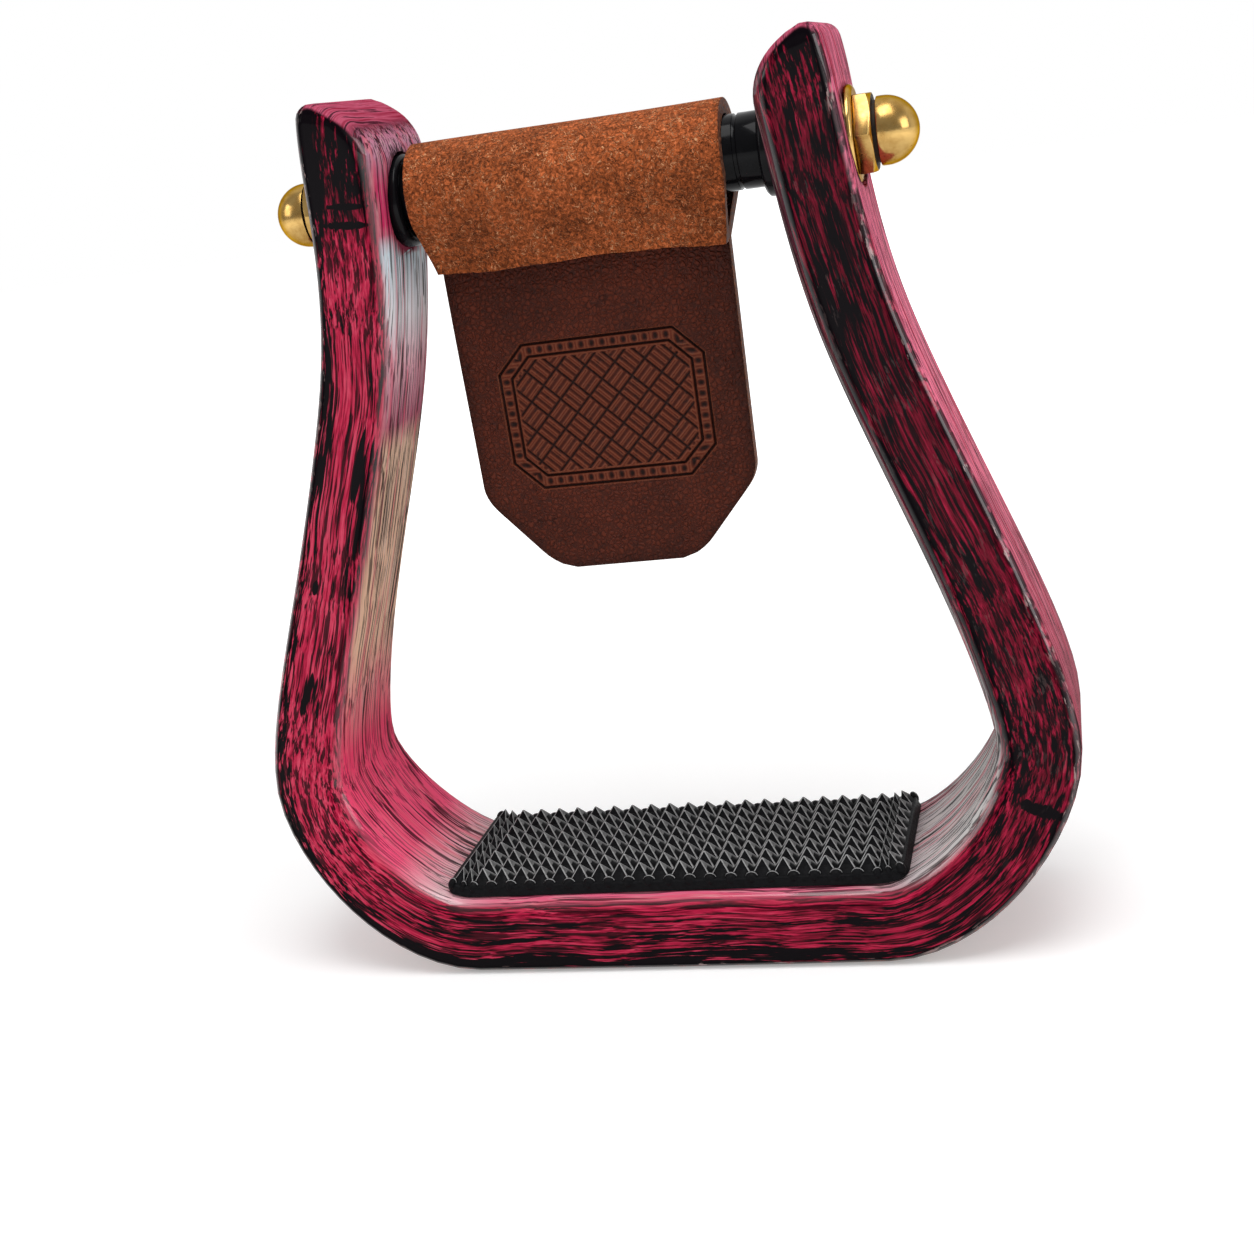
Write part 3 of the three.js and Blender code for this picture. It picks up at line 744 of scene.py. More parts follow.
def oak_finish(name, colours):
    """Distressed raspberry stain over charred oak, paler and bare inside, under clear gloss, with painted
    reflections, highlights and shade worked into some of its colours
    """
    finish = Finish(name, {"Coat Roughness": 0.08, "Specular IOR Level": 0.0})
    char, bare = colours.char, colours.bare
    still = finish.attribute("grain", "Vector")
    grain = wander(still)
    _, grain_across, grain_out = grain.parts()
    # outward and front say how a point faces, and share is its place from the left tip to the right one
    outward, front, share = finish.attribute("facing", "Vector").parts()
    # from -1 at the band's inner face to 1 at its outer face
    across = grain_out / HALF_BOARD
    side = abs(front)
    outer = outward.step(0.50, 0.80)
    inner = outward.step(-0.62, -0.88)
    # 1 on the rounded long edges and 0 on the flat faces
    rounding = outward * outward * (front * front * 4.0)
    top = abs(outward).larger(side).step(0.80, 0.55)
    broad = streaks(grain, 34.0, 330.0)[1]
    middling = streaks(grain, 60.0, 1300.0, shift=5.0)[1]
    fine = streaks(grain, 210.0, 3000.0, shift=9.0)[1]

    # front and back faces: stain left in streaks and flakes over the charred ground; the stain's cover and
    # depth along the band also paint part of the shade that makes the right leg darker
    cover = share.ramp(
        (0.000, 0.30), (0.020, 0.36), (0.036, 0.54), (0.046, 0.60), (0.052, 0.84), (0.120, 0.84),
        (0.240, 0.84), (0.300, 0.80), (0.370, 0.70), (0.430, 0.62), (0.500, 0.58), (0.580, 0.64),
        (0.640, 0.62), (0.700, 0.60), (0.760, 0.62), (0.820, 0.55), (0.880, 0.52), (0.930, 0.56),
        (0.965, 0.47), (0.975, 0.52), (0.990, 0.50), (1.000, 0.20),
    )
    outer_bias = share.ramp(
        (0.00, 0.22), (0.05, 0.04), (0.35, 0.02), (0.45, 0.02), (0.58, 0.04), (0.66, 0.50), (0.76, 0.62),
        (0.93, 0.64), (0.97, 0.30),
    )
    # painted highlight: along the footbed (0.38 to 0.60) the extra stain near the inner edge paints a pink
    # highlight on the footbed's top front edge
    inner_bias_and_highlight = share.ramp(
        (0.00, 0.50), (0.02, 0.74), (0.10, 0.70), (0.14, 0.36), (0.23, 0.34), (0.30, 0.70), (0.38, 0.80),
        (0.50, 0.92), (0.60, 0.80), (0.68, 0.34), (0.95, 0.30), (1.00, 0.20),
    )
    near_outer = (outer_bias - 0.5) * across.step(0.30, 0.80)
    near_inner_and_highlight = (inner_bias_and_highlight - 0.5) * across.step(-0.35, -0.92)
    flakes = (broad * 0.34 + middling * 0.44 + fine * 0.22).rise(0.18, 0.82)
    stained = (flakes + (cover + (near_outer + near_inner_and_highlight)) - 1.0).step(-0.08, 0.07)
    # partly painted shade: the stain's depth falls along the right leg
    depth = share.ramp(
        (0.00, 0.06), (0.04, 0.20), (0.06, 0.58), (0.12, 0.68), (0.32, 0.70), (0.40, 0.54), (0.60, 0.42),
        (0.68, 0.28), (0.90, 0.12), (0.96, 0.14), (0.975, 0.30), (1.00, 0.24),
    )
    # the stain is more even on the right leg
    sway = (middling - 0.5) * 0.70 + (fine - 0.5) * 0.50
    stain = (depth + sway * share.step(0.46, 0.64, 1.0, 0.66)).ramp(
        (0.0, toned(colours.stain, 0.10)), (0.34, toned(colours.stain, 0.36)),
        (0.62, colours.stain), (1.0, colours.stain_light),
    )
    lines = streaks(grain, 26.0, 1900.0, 0.62, 0.08, 3.0)[0]
    lines = lines.larger(streaks(grain, 44.0, 950.0, 0.72, 0.06, 13.0)[0])
    face = mix(lines * 0.90, mix(stained, char, stain), char)
    dark = scar(share, across, *SCARS[0])
    for mark in SCARS[1:]:
        dark = dark.larger(scar(share, across, *mark))
    torn = (dark + (middling * 0.6 + broad * 0.4)).step(0.98, 1.10)
    face = mix(torn * front.step(0.3, 0.7), face, char)

    # inner and outer faces: a coloured ground with fine dark grain lines; the pale blue-white stretch high
    # on the left leg's inside is partly a painted reflection, and the upper inside of the right leg is
    # painted dark as shade
    inner_ground_and_painted_light = share.ramp(
        (0.000, (0.56, 0.07, 0.17)), (0.018, (0.52, 0.26, 0.36)), (0.032, (0.62, 0.05, 0.15)),
        (0.050, (0.60, 0.03, 0.12)), (0.057, (0.70, 0.84, 0.92)), (0.085, (0.92, 0.88, 0.92)),
        (0.105, (0.82, 0.42, 0.50)), (0.128, (0.46, 0.09, 0.17)), (0.140, (0.76, 0.50, 0.35)),
        (0.230, (0.84, 0.52, 0.36)), (0.258, (0.80, 0.24, 0.25)), (0.285, (0.86, 0.055, 0.15)),
        (0.355, (0.84, 0.09, 0.20)), (0.385, (0.74, 0.46, 0.50)), (0.425, (0.76, 0.13, 0.23)),
        (0.575, (0.72, 0.13, 0.23)), (0.615, (0.54, 0.47, 0.48)), (0.660, (0.56, 0.55, 0.54)),
        (0.735, (0.44, 0.42, 0.42)), (0.800, (0.14, 0.11, 0.11)), (0.900, (0.05, 0.02, 0.03)),
        (1.000, (0.10, 0.02, 0.04)),
    )
    # partly painted light: the right leg's outer face (0.80 to 1.00) is a brighter pink, to make up for the
    # weaker light on that side
    outer_ground_and_painted_light = share.ramp(
        (0.00, (0.03, 0.02, 0.02)), (0.07, (0.12, 0.03, 0.04)), (0.12, (0.30, 0.07, 0.06)),
        (0.17, (0.46, 0.05, 0.10)), (0.28, (0.56, 0.05, 0.12)), (0.35, (0.50, 0.12, 0.12)), (0.41, bare),
        (0.58, bare), (0.64, (0.44, 0.13, 0.10)), (0.70, (0.44, 0.10, 0.14)), (0.80, (0.74, 0.15, 0.24)),
        (0.90, (0.88, 0.20, 0.32)), (1.00, (0.74, 0.15, 0.26)),
    )
    # the lower left inside is rosier, with fewer lines
    rosy = share.step(0.25, 0.29) * share.step(0.39, 0.35)
    tint = (middling - 0.5) * rosy.step(0.0, 1.0, 0.9, 0.25)
    threads = streaks(grain, 16.0, 1900.0, 0.62, 0.07, 21.0)[0]
    bold = streaks(grain, 14.0, 760.0, 0.72, 0.05, 11.0)[0]
    pores, pore_height = streaks(grain, 150.0, 2000.0, 0.78, 0.05, 19.0)
    pink = streaks(grain, 10.0, 620.0, 0.66, 0.12, 31.0)[0]
    inner_shade = mix(pink * 0.55, inner_ground_and_painted_light, colours.stain_light)
    inner_shade = mix(tint.larger(0.0), inner_shade, (0.62, 0.50, 0.46))
    inner_shade = mix(threads * rosy.step(0.0, 1.0, 0.74, 0.52), inner_shade, char)
    inner_shade = mix(bold * 0.85, inner_shade, char)
    outer_shade = mix(pink * 0.80, outer_ground_and_painted_light, colours.stain)
    outer_shade = mix(pores, mix(lines * 0.72, outer_shade, char), char)

    # end grain on the crowns of the tips
    turned_grain = node(grain.tree, "ShaderNodeCombineXYZ", {0: grain_across, 1: grain_out, 2: grain_out})
    crown_lines, crown_tone = streaks(turned_grain, 50.0, 900.0, 0.66, 0.08, 41.0)
    crown = mix(crown_tone, toned(colours.stain, 0.45), (0.68, 0.15, 0.25))
    face = mix(top, face, mix(crown_lines * 0.85, crown, char))
    shade = mix(outer, mix(inner, face, inner_shade), outer_shade)
    # dark line worn along the outer edges, with pale chips in it
    arris = outward.step(0.20, 0.50) * side.step(0.12, 0.40)
    shade = mix(arris * blotches(grain, 300.0, 0.36, 0.50, 4.0)[0] * 0.9, shade, char)
    nicks = streaks(still, 330.0, 1500.0, 0.74, 0.05, 51.0)[0]
    where_worn = arris.larger(share.step(0.62, 0.72, 0.0, 0.10))
    chips = nicks * blotches(still, 110.0, 0.46, 0.60, 2.0)[0] * where_worn
    shade = mix(chips * 0.7, shade, (0.50, 0.34, 0.33))

    coat = rounding.step(0.45, 0.98).larger(side.step(0.90, 0.99) * 0.10).larger(inner.larger(outer) * 0.06)
    height = stained * 0.5 + lines * -0.5 + (pore_height + fine) * 0.25
    return finish.done(shade, stained.step(0.0, 1.0, 0.45, 0.60), height, 0.00025, 0.5, coat)


def suede_finish(name, colours):
    """Rough flesh side of the strap, with short curly fibres; its colour follows the nap, so it carries
    painted light and shade
    """
    finish = Finish(name, {"Sheen Weight": 0.12, "Sheen Roughness": 0.5, "Sheen Tint": (0.9, 0.55, 0.35, 1),
                           "Specular IOR Level": 0.1})
    place = finish.place()
    grit = blotches(place, 1500.0, detail=2.0, distortion=0.8)[1]
    curl = blotches(place, 600.0, detail=1.0, roughness=0.35, distortion=2.2)[1]
    off_line = abs(curl - 0.5)
    fibre = off_line.step(0.034, 0.012) * blotches(place, 520.0, 0.46, 0.54, 1.0)[0]
    # painted shade: a dark valley beside each fibre
    valley_shade = off_line.step(0.034, 0.060) * off_line.step(0.11, 0.06)
    worn = blotches(place, 110.0, 0.3, 0.7, 4.0)[0]
    # the nap is both the bump and the colour: low places are painted darker as shade, and fibre tops
    # lighter, partly their own paler colour and partly a painted highlight
    nap_and_painted_light = grit.rise(0.33, 0.67) * 0.42 + worn * 0.16 + fibre * 0.40 - valley_shade * 0.12
    suede = colours.suede
    shade = nap_and_painted_light.ramp((0.02, toned(suede, 0.25)), (0.18, toned(suede, 0.62)), (0.34, suede),
                     (0.52, toned(suede, 1.6, 0.010)), (0.80, (0.82, 0.40, 0.19)))
    return finish.done(shade, nap_and_painted_light.step(0.0, 1.0, 0.95, 0.75), nap_and_painted_light, 0.00080)


def grain_leather_finish(name, colours):
    """Smooth dark brown side of the strap, pebbled, darker in the stamping and round its edges, with
    painted highlights on its pebbles and raised tooling and painted shade in its creases and stamped marks
    """
    finish = Finish(name, {"Coat Weight": 0.03, "Coat Roughness": 0.3, "Specular IOR Level": 0.12})
    place = finish.place()
    stamp, rim, panel = (finish.attribute(label) for label in ("stamp", "rim", "panel"))
    leather = colours.grain_leather
    light, dark = toned(leather, 1.85), toned(leather, 0.35)
    warp = node(place.tree, "ShaderNodeTexNoise", {"Vector": place, "Scale": 900.0, "Detail": 1.0}, "Color")
    warped = place.vector("ADD", warp.vector("MULTIPLY", (0.0009, 0.0009, 0.0009)))
    pebble = node(place.tree, "ShaderNodeTexVoronoi", {"Vector": warped, "Scale": 980.0, "Randomness": 1.0},
                  "Distance", feature="DISTANCE_TO_EDGE")
    crease = blotches(place, 620.0, detail=4.0, roughness=0.6, distortion=0.8)[1]
    base = mix(blotches(place, 60.0, 0.3, 0.7, 5.0, 0.6)[0], leather, light)
    # the stamped panel is lighter: its own paler colour, and a painted highlight on the raised tooling
    base = mix(panel * 0.80, base, light)
    # painted shade in the creases
    base = mix(crease.step(0.46, 0.34, 0.0, 0.6), base, dark)
    plain = panel * -0.85 + 1.0
    # painted light on the pebbles outside the panel: lighter tops and darker cracks between them
    base = mix(pebble.step(0.14, 0.36, 0.0, 0.45) * plain, base, light)
    base = mix(pebble.step(0.14, 0.03, 0.0, 0.60) * plain, base, dark)
    base = mix(rim * 0.75, base, dark)
    # painted highlight on the lips of the stamped marks, then painted shade in their bottoms
    base = mix(stamp.step(0.02, 0.10) * stamp.step(0.34, 0.18) * 0.55, base, (0.20, 0.060, 0.028))
    base = mix(stamp.step(0.22, 0.75, 0.0, 0.94), base, toned(leather, 0.12))
    height = pebble.step(0.0, 0.35) * plain + crease * 0.7
    return finish.done(base, crease.step(0.3, 0.7, 0.42, 0.58), height, 0.00030)


def leather_edge_finish(name, colours):
    """Cut edge of the strap: rubbed dark, with its fibres showing"""
    finish = Finish(name, {})
    fibre = blotches(finish.place(), 1500.0, detail=4.0, roughness=0.6)[1]
    shade = mix(fibre.step(0.4, 0.62), (0.10, 0.028, 0.012), (0.34, 0.12, 0.05))
    return finish.done(shade, fibre.step(0.3, 0.7, 0.6, 0.9), fibre, 0.0003, 0.7)


def rubber_finish(name, colours, worn):
    """Moulded black rubber, greyer by the amount given as worn: on worn ridges and bumps, where it also
    paints a highlight, and on stud faces painted paler for the light they catch
    """
    finish = Finish(name, {"Specular IOR Level": 0.07})
    grey = toned(colours.rubber, 1.0, worn)
    dusty = blotches(finish.place(), 1300.0, 0.45, 0.62, 4.0)[0]
    fine = blotches(finish.place(), 2200.0)[1]
    shade = mix(dusty * 0.6, grey, toned(grey, 0.45))
    return finish.done(shade, fine.step(0.3, 0.7, 0.40, 0.60), fine, 0.0001, 0.5)


def brass_finish(name, colours):
    """Polished brass with smudges, small dents and a warmer tarnish"""
    finish = Finish(name, {"Metallic": 1.0, "Specular Tint": (0.52, 0.38, 0.20, 1)})
    place = finish.place()
    brass = colours.brass
    smudge = blotches(place, 320.0, 0.35, 0.7, 4.0, 0.6)[0]
    shade = mix(smudge * 0.75, brass, (brass[0] * 0.66, brass[1] * 0.56, brass[2] * 0.42))
    dents = node(place.tree, "ShaderNodeTexVoronoi", {"Vector": place, "Scale": 620.0, "Randomness": 1.0})
    pits = dents.step(0.16, 0.05) * blotches(place, 260.0, 0.60, 0.68, 1.0)[0]
    height = blotches(place, 900.0)[1] * 0.10 - pits
    return finish.done(shade, smudge.step(0.0, 1.0, 0.17, 0.28), height, 0.00018, 0.6)


def groove_shade_finish(name, colours):
    """Painted shade: near-black metal in the groove under a nut's dome"""
    finish = Finish(name, {"Metallic": 0.4})
    groove_mottle = blotches(finish.place(), 900.0)[0]
    shade = mix(groove_mottle, (0.010, 0.006, 0.003), (0.045, 0.026, 0.010))
    return finish.done(shade, groove_mottle.step(0.0, 1.0, 0.6, 0.8))


def black_finish(name, colours, kind, rough, coat):
    """Black paint or plastic with faint handling marks"""
    black = getattr(colours, kind)
    finish = Finish(name, {"Coat Weight": coat, "Coat Roughness": 0.05, "Specular IOR Level": 0.06})
    marks = blotches(finish.place(), 260.0, 0.45, 0.75, 5.0, 0.65)[0]
    shade = mix(marks * 0.4, black, toned(black, 2.2, 0.004))
    return finish.done(shade, marks.step(0.0, 1.0, rough, rough + 0.14))


def steel_finish(name, colours):
    """Zinc-plated steel with fine turning marks"""
    finish = Finish(name, {"Metallic": 1.0})
    rings = blotches(finish.place().vector("MULTIPLY", (2600.0, 160.0, 160.0)), 1.0)[1]
    shade = mix(rings, (0.42, 0.42, 0.41), (0.62, 0.62, 0.60))
    return finish.done(shade, rings.step(0.3, 0.7, 0.28, 0.42), rings, 0.0001, 0.4)


FINISHES = {
    "stained_oak": (oak_finish,),
    "suede": (suede_finish,),
    "grain_leather": (grain_leather_finish,),
    "leather_edge": (leather_edge_finish,),
    "tread_rubber": (rubber_finish, 0.0),
    # greyer rubbers: worn edges that also paint a highlight, and painted light on the stud faces that look
    # away from the toe
    "worn_rubber": (rubber_finish, 0.36),
    "dusty_rubber": (rubber_finish, 0.16),
    "bright_brass": (brass_finish,),
    # near-black metal for painted shade in the nut's groove
    "groove_tarnish": (groove_shade_finish,),
    "gloss_enamel": (black_finish, "enamel", 0.16, 0.08),
    "smooth_nylon": (black_finish, "nylon", 0.26, 0.10),
    "zinc_steel": (steel_finish,),
}

# Operators

# how near a point has to be to count as lying on a face
NEAR = 1e-5


def along(edge, axis):
    """How far an edge reaches along an axis"""
    start, end = (vertex.co[axis] for vertex in edge.verts)
    return abs(start - end)


class STIRRUP_OT_band(bpy.types.Operator):
    """Bends the oak band from a straight board, then bores and seats it for the bolt"""

    bl_idname = "stirrup.band"
    bl_label = "Oak band"

    def execute(self, context):
        sizes = context.scene.stirrup_band
        if context.scene.stirrup_hardware.bolt_diameter >= sizes.bolt_hole:
            raise RuntimeError("the bolt hole is smaller than the bolt")
        total = centre_line(sizes)[1][-1]
        thickness, depth = sizes.footbed_thickness, sizes.half_depths[0]
        board = box("oak_band", (total, thickness, 2 * depth), (total / 2, 0, 0))
        open_edit(board)
        # long edges: rounder on the board's upper side, which faces the foot
        for side, radius, segments in ((1, sizes.inner_edge_round, 6), (-1, sizes.outer_edge_round, 5)):
            bevel(board, lambda e: all(v.co.y * side > thickness / 2 - NEAR for v in e.verts)
                  and along(e, 0) > total / 2, radius, segments)
        # rings, close together where the tips are rounded
        tip_rings, other_rings, tip = 14, 62, sizes.tip_inner_round
        tip_start = total / 2 - tip
        half = [tip_start * i / other_rings for i in range(other_rings)]
        half += [tip_start + tip * math.cos(i / tip_rings * QUARTER) for i in range(1, tip_rings + 1)]
        places = sorted({0.0, *half, *(-x for x in half)})
        slice_at([x + total / 2 for x in places])
        for x in (-total / 2, *places, total / 2):
            self.shape_ring(board, sizes, x, total)
        close_edit(board)
        bend(board, band_points(sizes))
        settle(board, UPRIGHT)

        reach = sizes.widest_half
        cut(board, rod(sizes.bolt_hole / 2, -reach, reach, BOLT_HEIGHT))
        washer_seat = WASHER_BACK - sizes.seat_gap
        collar_seat = COLLAR_BACK + sizes.seat_gap
        for way in (-1, 1):
            for radius, *ends in (
                (WASHER_RADIUS, washer_seat, reach),
                (COLLAR_RADIUS, collar_seat - sizes.tip_thickness, collar_seat),
            ):
                start, end = sorted(way * x for x in ends)
                cut(board, rod(radius + sizes.seat_margin, start, end, BOLT_HEIGHT))
        smooth(board, 32)
        write_grain(board.data, sizes)
        paint(board, "stained_oak")
        dress(board, "frame", "stirrup_frame")
        return {"FINISHED"}

    @staticmethod
    def shape_ring(board, sizes, x, total):
        """Brings one ring of the board, x from its middle, to the band's depth and thickness there"""
        from_tip = total / 2 - abs(x)
        share = 2 * abs(x) / total

        def rounding(radius):
            return radius - math.sqrt(radius ** 2 - max(0, radius - from_tip) ** 2)

        half = sizes.footbed_thickness / 2
        there = half + (sizes.tip_thickness / 2 - half) * share
        inner, outer = there - rounding(sizes.tip_inner_round), there - rounding(sizes.tip_outer_round)
        depth = half_depth(sizes, share) - rounding(sizes.tip_corner_round)
        # a ring too thin for its rounded edges, and a little flat between them, is squeezed
        flat_between = 0.001
        least = sizes.inner_edge_round + sizes.outer_edge_round + flat_between
        squeeze = min(1, (inner + outer) / least)
        room = max(inner + outer, least)

        def in_ring(v):
            return abs(v.co.x - total / 2 - x) < NEAR

        for way, offset in ((1, depth - sizes.half_depths[0]), (-1, sizes.half_depths[0] - depth)):
            pick(board, "verts", lambda v: in_ring(v) and v.co.z * way > 0)
            bpy.ops.transform.translate(value=(0, 0, offset))
        pick(board, "verts", lambda v: in_ring(v) and v.co.y > 0)
        bpy.ops.transform.translate(value=(0, room - 2 * half, 0))
        pick(board, "verts", in_ring)
        bpy.ops.transform.resize(value=(1, squeeze, 1), center_override=(0, -half, 0))
        bpy.ops.transform.translate(value=(0, half - outer, 0))


class STIRRUP_OT_tread(bpy.types.Operator):
    """Moulds one stud, repeats it over the sheet and bends the tread onto the footbed"""

    bl_idname = "stirrup.tread"
    bl_label = "Rubber tread"

    def execute(self, context):
        sizes, band = context.scene.stirrup_tread, context.scene.stirrup_band
        middle = centre_line(band)[1][-1] / 2
        studs_half, rows_half = sizes.columns * sizes.pitch / 2, sizes.rows * sizes.pitch / 2
        half_length, half_width = studs_half + sizes.border, rows_half + sizes.border
        low = band.footbed_thickness / 2 + sizes.glue_line
        top = low + sizes.thickness
        size = (2 * half_length, sizes.thickness, 2 * half_width)
        sheet = box("tread_pad", size, (middle, low + sizes.thickness / 2, 0))
        paint(sheet, "tread_rubber")
        open_edit(sheet)
        bevel(sheet, lambda e: along(e, 1) > sizes.thickness / 2, sizes.corner_round, 6)
        bevel(sheet, lambda e: all(v.co.y > top - NEAR for v in e.verts), sizes.border_round, 3)
        cuts = 2 * sizes.columns
        slice_at([middle - half_length + 2 * half_length * i / cuts for i in range(1, cuts)])
        close_edit(sheet)

        stud = self.stud(sizes)
        sunk = 0.00003
        first = (middle - studs_half + sizes.pitch / 2, top - sunk, sizes.pitch / 2 - rows_half)
        settle(stud, Matrix.Translation(first) @ Matrix.Rotation(-QUARTER, 4, "X"))
        repeat(stud, sizes.columns, (sizes.pitch, 0, 0))
        repeat(stud, sizes.rows, (0, 0, sizes.pitch))
        bumps = [self.bumps(sizes, middle - studs_half, top, rows_half, way) for way in (-1, 1)]
        join(sheet, stud, *bumps)
        bend(sheet, band_points(band))
        settle(sheet, UPRIGHT)
        smooth(sheet, 40)
        dress(sheet, "frame", "rubber_tread")
        return {"FINISHED"}

    @staticmethod
    def stud(sizes):
        """One pyramid over a round skirt, which leaves a scalloped foot where the studs meet the border"""
        half_foot, height = sizes.stud_foot / 2, sizes.stud_height
        deselect()
        bpy.ops.mesh.primitive_cone_add(
            vertices=4, radius1=half_foot * math.sqrt(2), radius2=sizes.stud_top, depth=height,
            location=(0, 0, height / 2), rotation=(0, 0, QUARTER / 2),
        )
        stud = settle(bpy.context.object)
        paint(stud, "tread_rubber", "worn_rubber", "dusty_rubber")
        open_edit(stud)
        # painted light: the faces that look away from the toe get a paler grey than the ones that face it
        pick(stud, "faces", lambda f: f.normal.y > -0.3 and f.normal.z > -0.5)
        stud.active_material_index = 2
        bpy.ops.object.material_slot_assign()
        # the faces are pressed in a little half way up, and the ridges and the top get the worn rubber,
        # which also paints their highlight
        pick(stud, "faces", lambda f: abs(f.normal.z) < 0.9)
        bpy.ops.mesh.inset(thickness=sizes.face_inset, depth=-sizes.face_depth, use_individual=True)
        bevel(stud, lambda e: along(e, 2) > height * 0.9, sizes.ridge_round, 2, material=1)
        bevel(stud, lambda e: all(v.co.z > height - NEAR for v in e.verts), sizes.top_round, 2, material=1)
        close_edit(stud)
        # the skirt starts a little below the sheet's face
        below, wide, narrow = 0.0002, half_foot * 1.24, half_foot * 0.62
        deselect()
        bpy.ops.mesh.primitive_cone_add(
            vertices=16, radius1=wide, radius2=narrow, depth=sizes.skirt_height,
            location=(0, 0, sizes.skirt_height / 2 - below), rotation=(0, 0, math.pi / 16),
        )
        skirt = settle(bpy.context.object)
        paint(skirt, "tread_rubber")
        open_edit(skirt)
        bevel(skirt, lambda e: all(v.co.z < 0 for v in e.verts), below / 2, 1)
        close_edit(skirt)
        join(stud, skirt)
        return stud

    @staticmethod
    def bumps(sizes, start, top, reach, way):
        """Small round bumps along a long border, half a pitch from the studs"""
        sunk, arch, arch_half = 0.0004, 0.00014, 0.0001
        deselect()
        bpy.ops.mesh.primitive_uv_sphere_add(
            segments=16, ring_count=16, radius=sizes.bump_radius, location=(start, top - sunk, way * reach),
        )
        bump = settle(bpy.context.object)
        paint(bump, "tread_rubber", "worn_rubber")
        # painted highlight: an arch of the paler worn rubber over each bump
        for polygon in bump.data.polygons:
            outside = polygon.center.z * way - reach
            polygon.material_index = int(abs(outside - arch) < arch_half and polygon.center.y > top)
        repeat(bump, sizes.columns + 1, (sizes.pitch, 0, 0))
        return bump


class STIRRUP_OT_bolt(bpy.types.Operator):
    """Gives the through bolt its plated steel"""

    bl_idname = "stirrup.bolt"
    bl_label = "Through bolt"

    def execute(self, context):
        paint(frame["nodes"]["through_bolt"], "zinc_steel")
        return {"FINISHED"}


class STIRRUP_OT_collars(bpy.types.Operator):
    """Turns the two end collars that the roller runs in"""

    bl_idname = "stirrup.collars"
    bl_label = "End collars"

    def execute(self, context):
        sizes = context.scene.stirrup_hardware
        back, mouth, r = COLLAR_BACK, COLLAR_MOUTH, COLLAR_RADIUS
        wall, chamfer = back - sizes.collar_wall, sizes.collar_chamfer
        hole = sizes.bolt_diameter / 2 + sizes.bolt_clearance
        bore = ROLLER_RADIUS + sizes.running_clearance
        right = turned("collar_right", [
            (back, hole), (back, r), (mouth + chamfer, r), (mouth, r - chamfer), (mouth, bore),
            (wall, bore), (wall, hole), (back, hole),
        ])
        ease(right, width=0.00015, segments=2)
        paint(right, "smooth_nylon")
        dress_pair(right, "end_collar")
        return {"FINISHED"}


class STIRRUP_OT_roller(bpy.types.Operator):
    """Turns the black roller tube"""

    bl_idname = "stirrup.roller"
    bl_label = "Roller"

    def execute(self, context):
        sizes = context.scene.stirrup_hardware
        r, end, chamfer = ROLLER_RADIUS, ROLLER_END, sizes.roller_chamfer
        ring, low = end - sizes.roller_ring_inset, r - sizes.roller_ring_depth
        ring_end = ring + sizes.roller_ring_width
        half = [
            (ring, r), (ring, low), (ring_end, low), (ring_end, r),
            (end - chamfer, r), (end, r - chamfer), (end, r - sizes.roller_wall),
        ]
        mirrored = [(-x, y) for x, y in reversed(half)]
        tube = turned("roller_tube", [*mirrored, *half, mirrored[0]])
        settle(tube, ON_BOLT)
        ease(tube, width=0.00012, segments=2)
        smooth(tube)
        paint(tube, "gloss_enamel")
        dress(tube, "roller", "roller")
        return {"FINISHED"}


class STIRRUP_OT_washers(bpy.types.Operator):
    """Turns the two brass washers"""

    bl_idname = "stirrup.washers"
    bl_label = "Washers"

    def execute(self, context):
        sizes = context.scene.stirrup_hardware
        back, face, r = WASHER_BACK, WASHER_FACE, WASHER_RADIUS
        hole = sizes.bolt_diameter / 2 + sizes.brass_clearance
        # stamped washers are rounder on the side that is seen
        back_round, face_round, face_drop = 0.00035, 0.0005, 0.0006
        right = turned("washer_plate_right", [
            (back, hole), (back, r - back_round), (back + back_round, r), (face - face_round, r),
            (face, r - face_drop), (face, hole), (back, hole),
        ])
        ease(right, width=0.00018, segments=3, degrees=25)
        paint(right, "bright_brass")
        dress_pair(right, "washer")
        return {"FINISHED"}


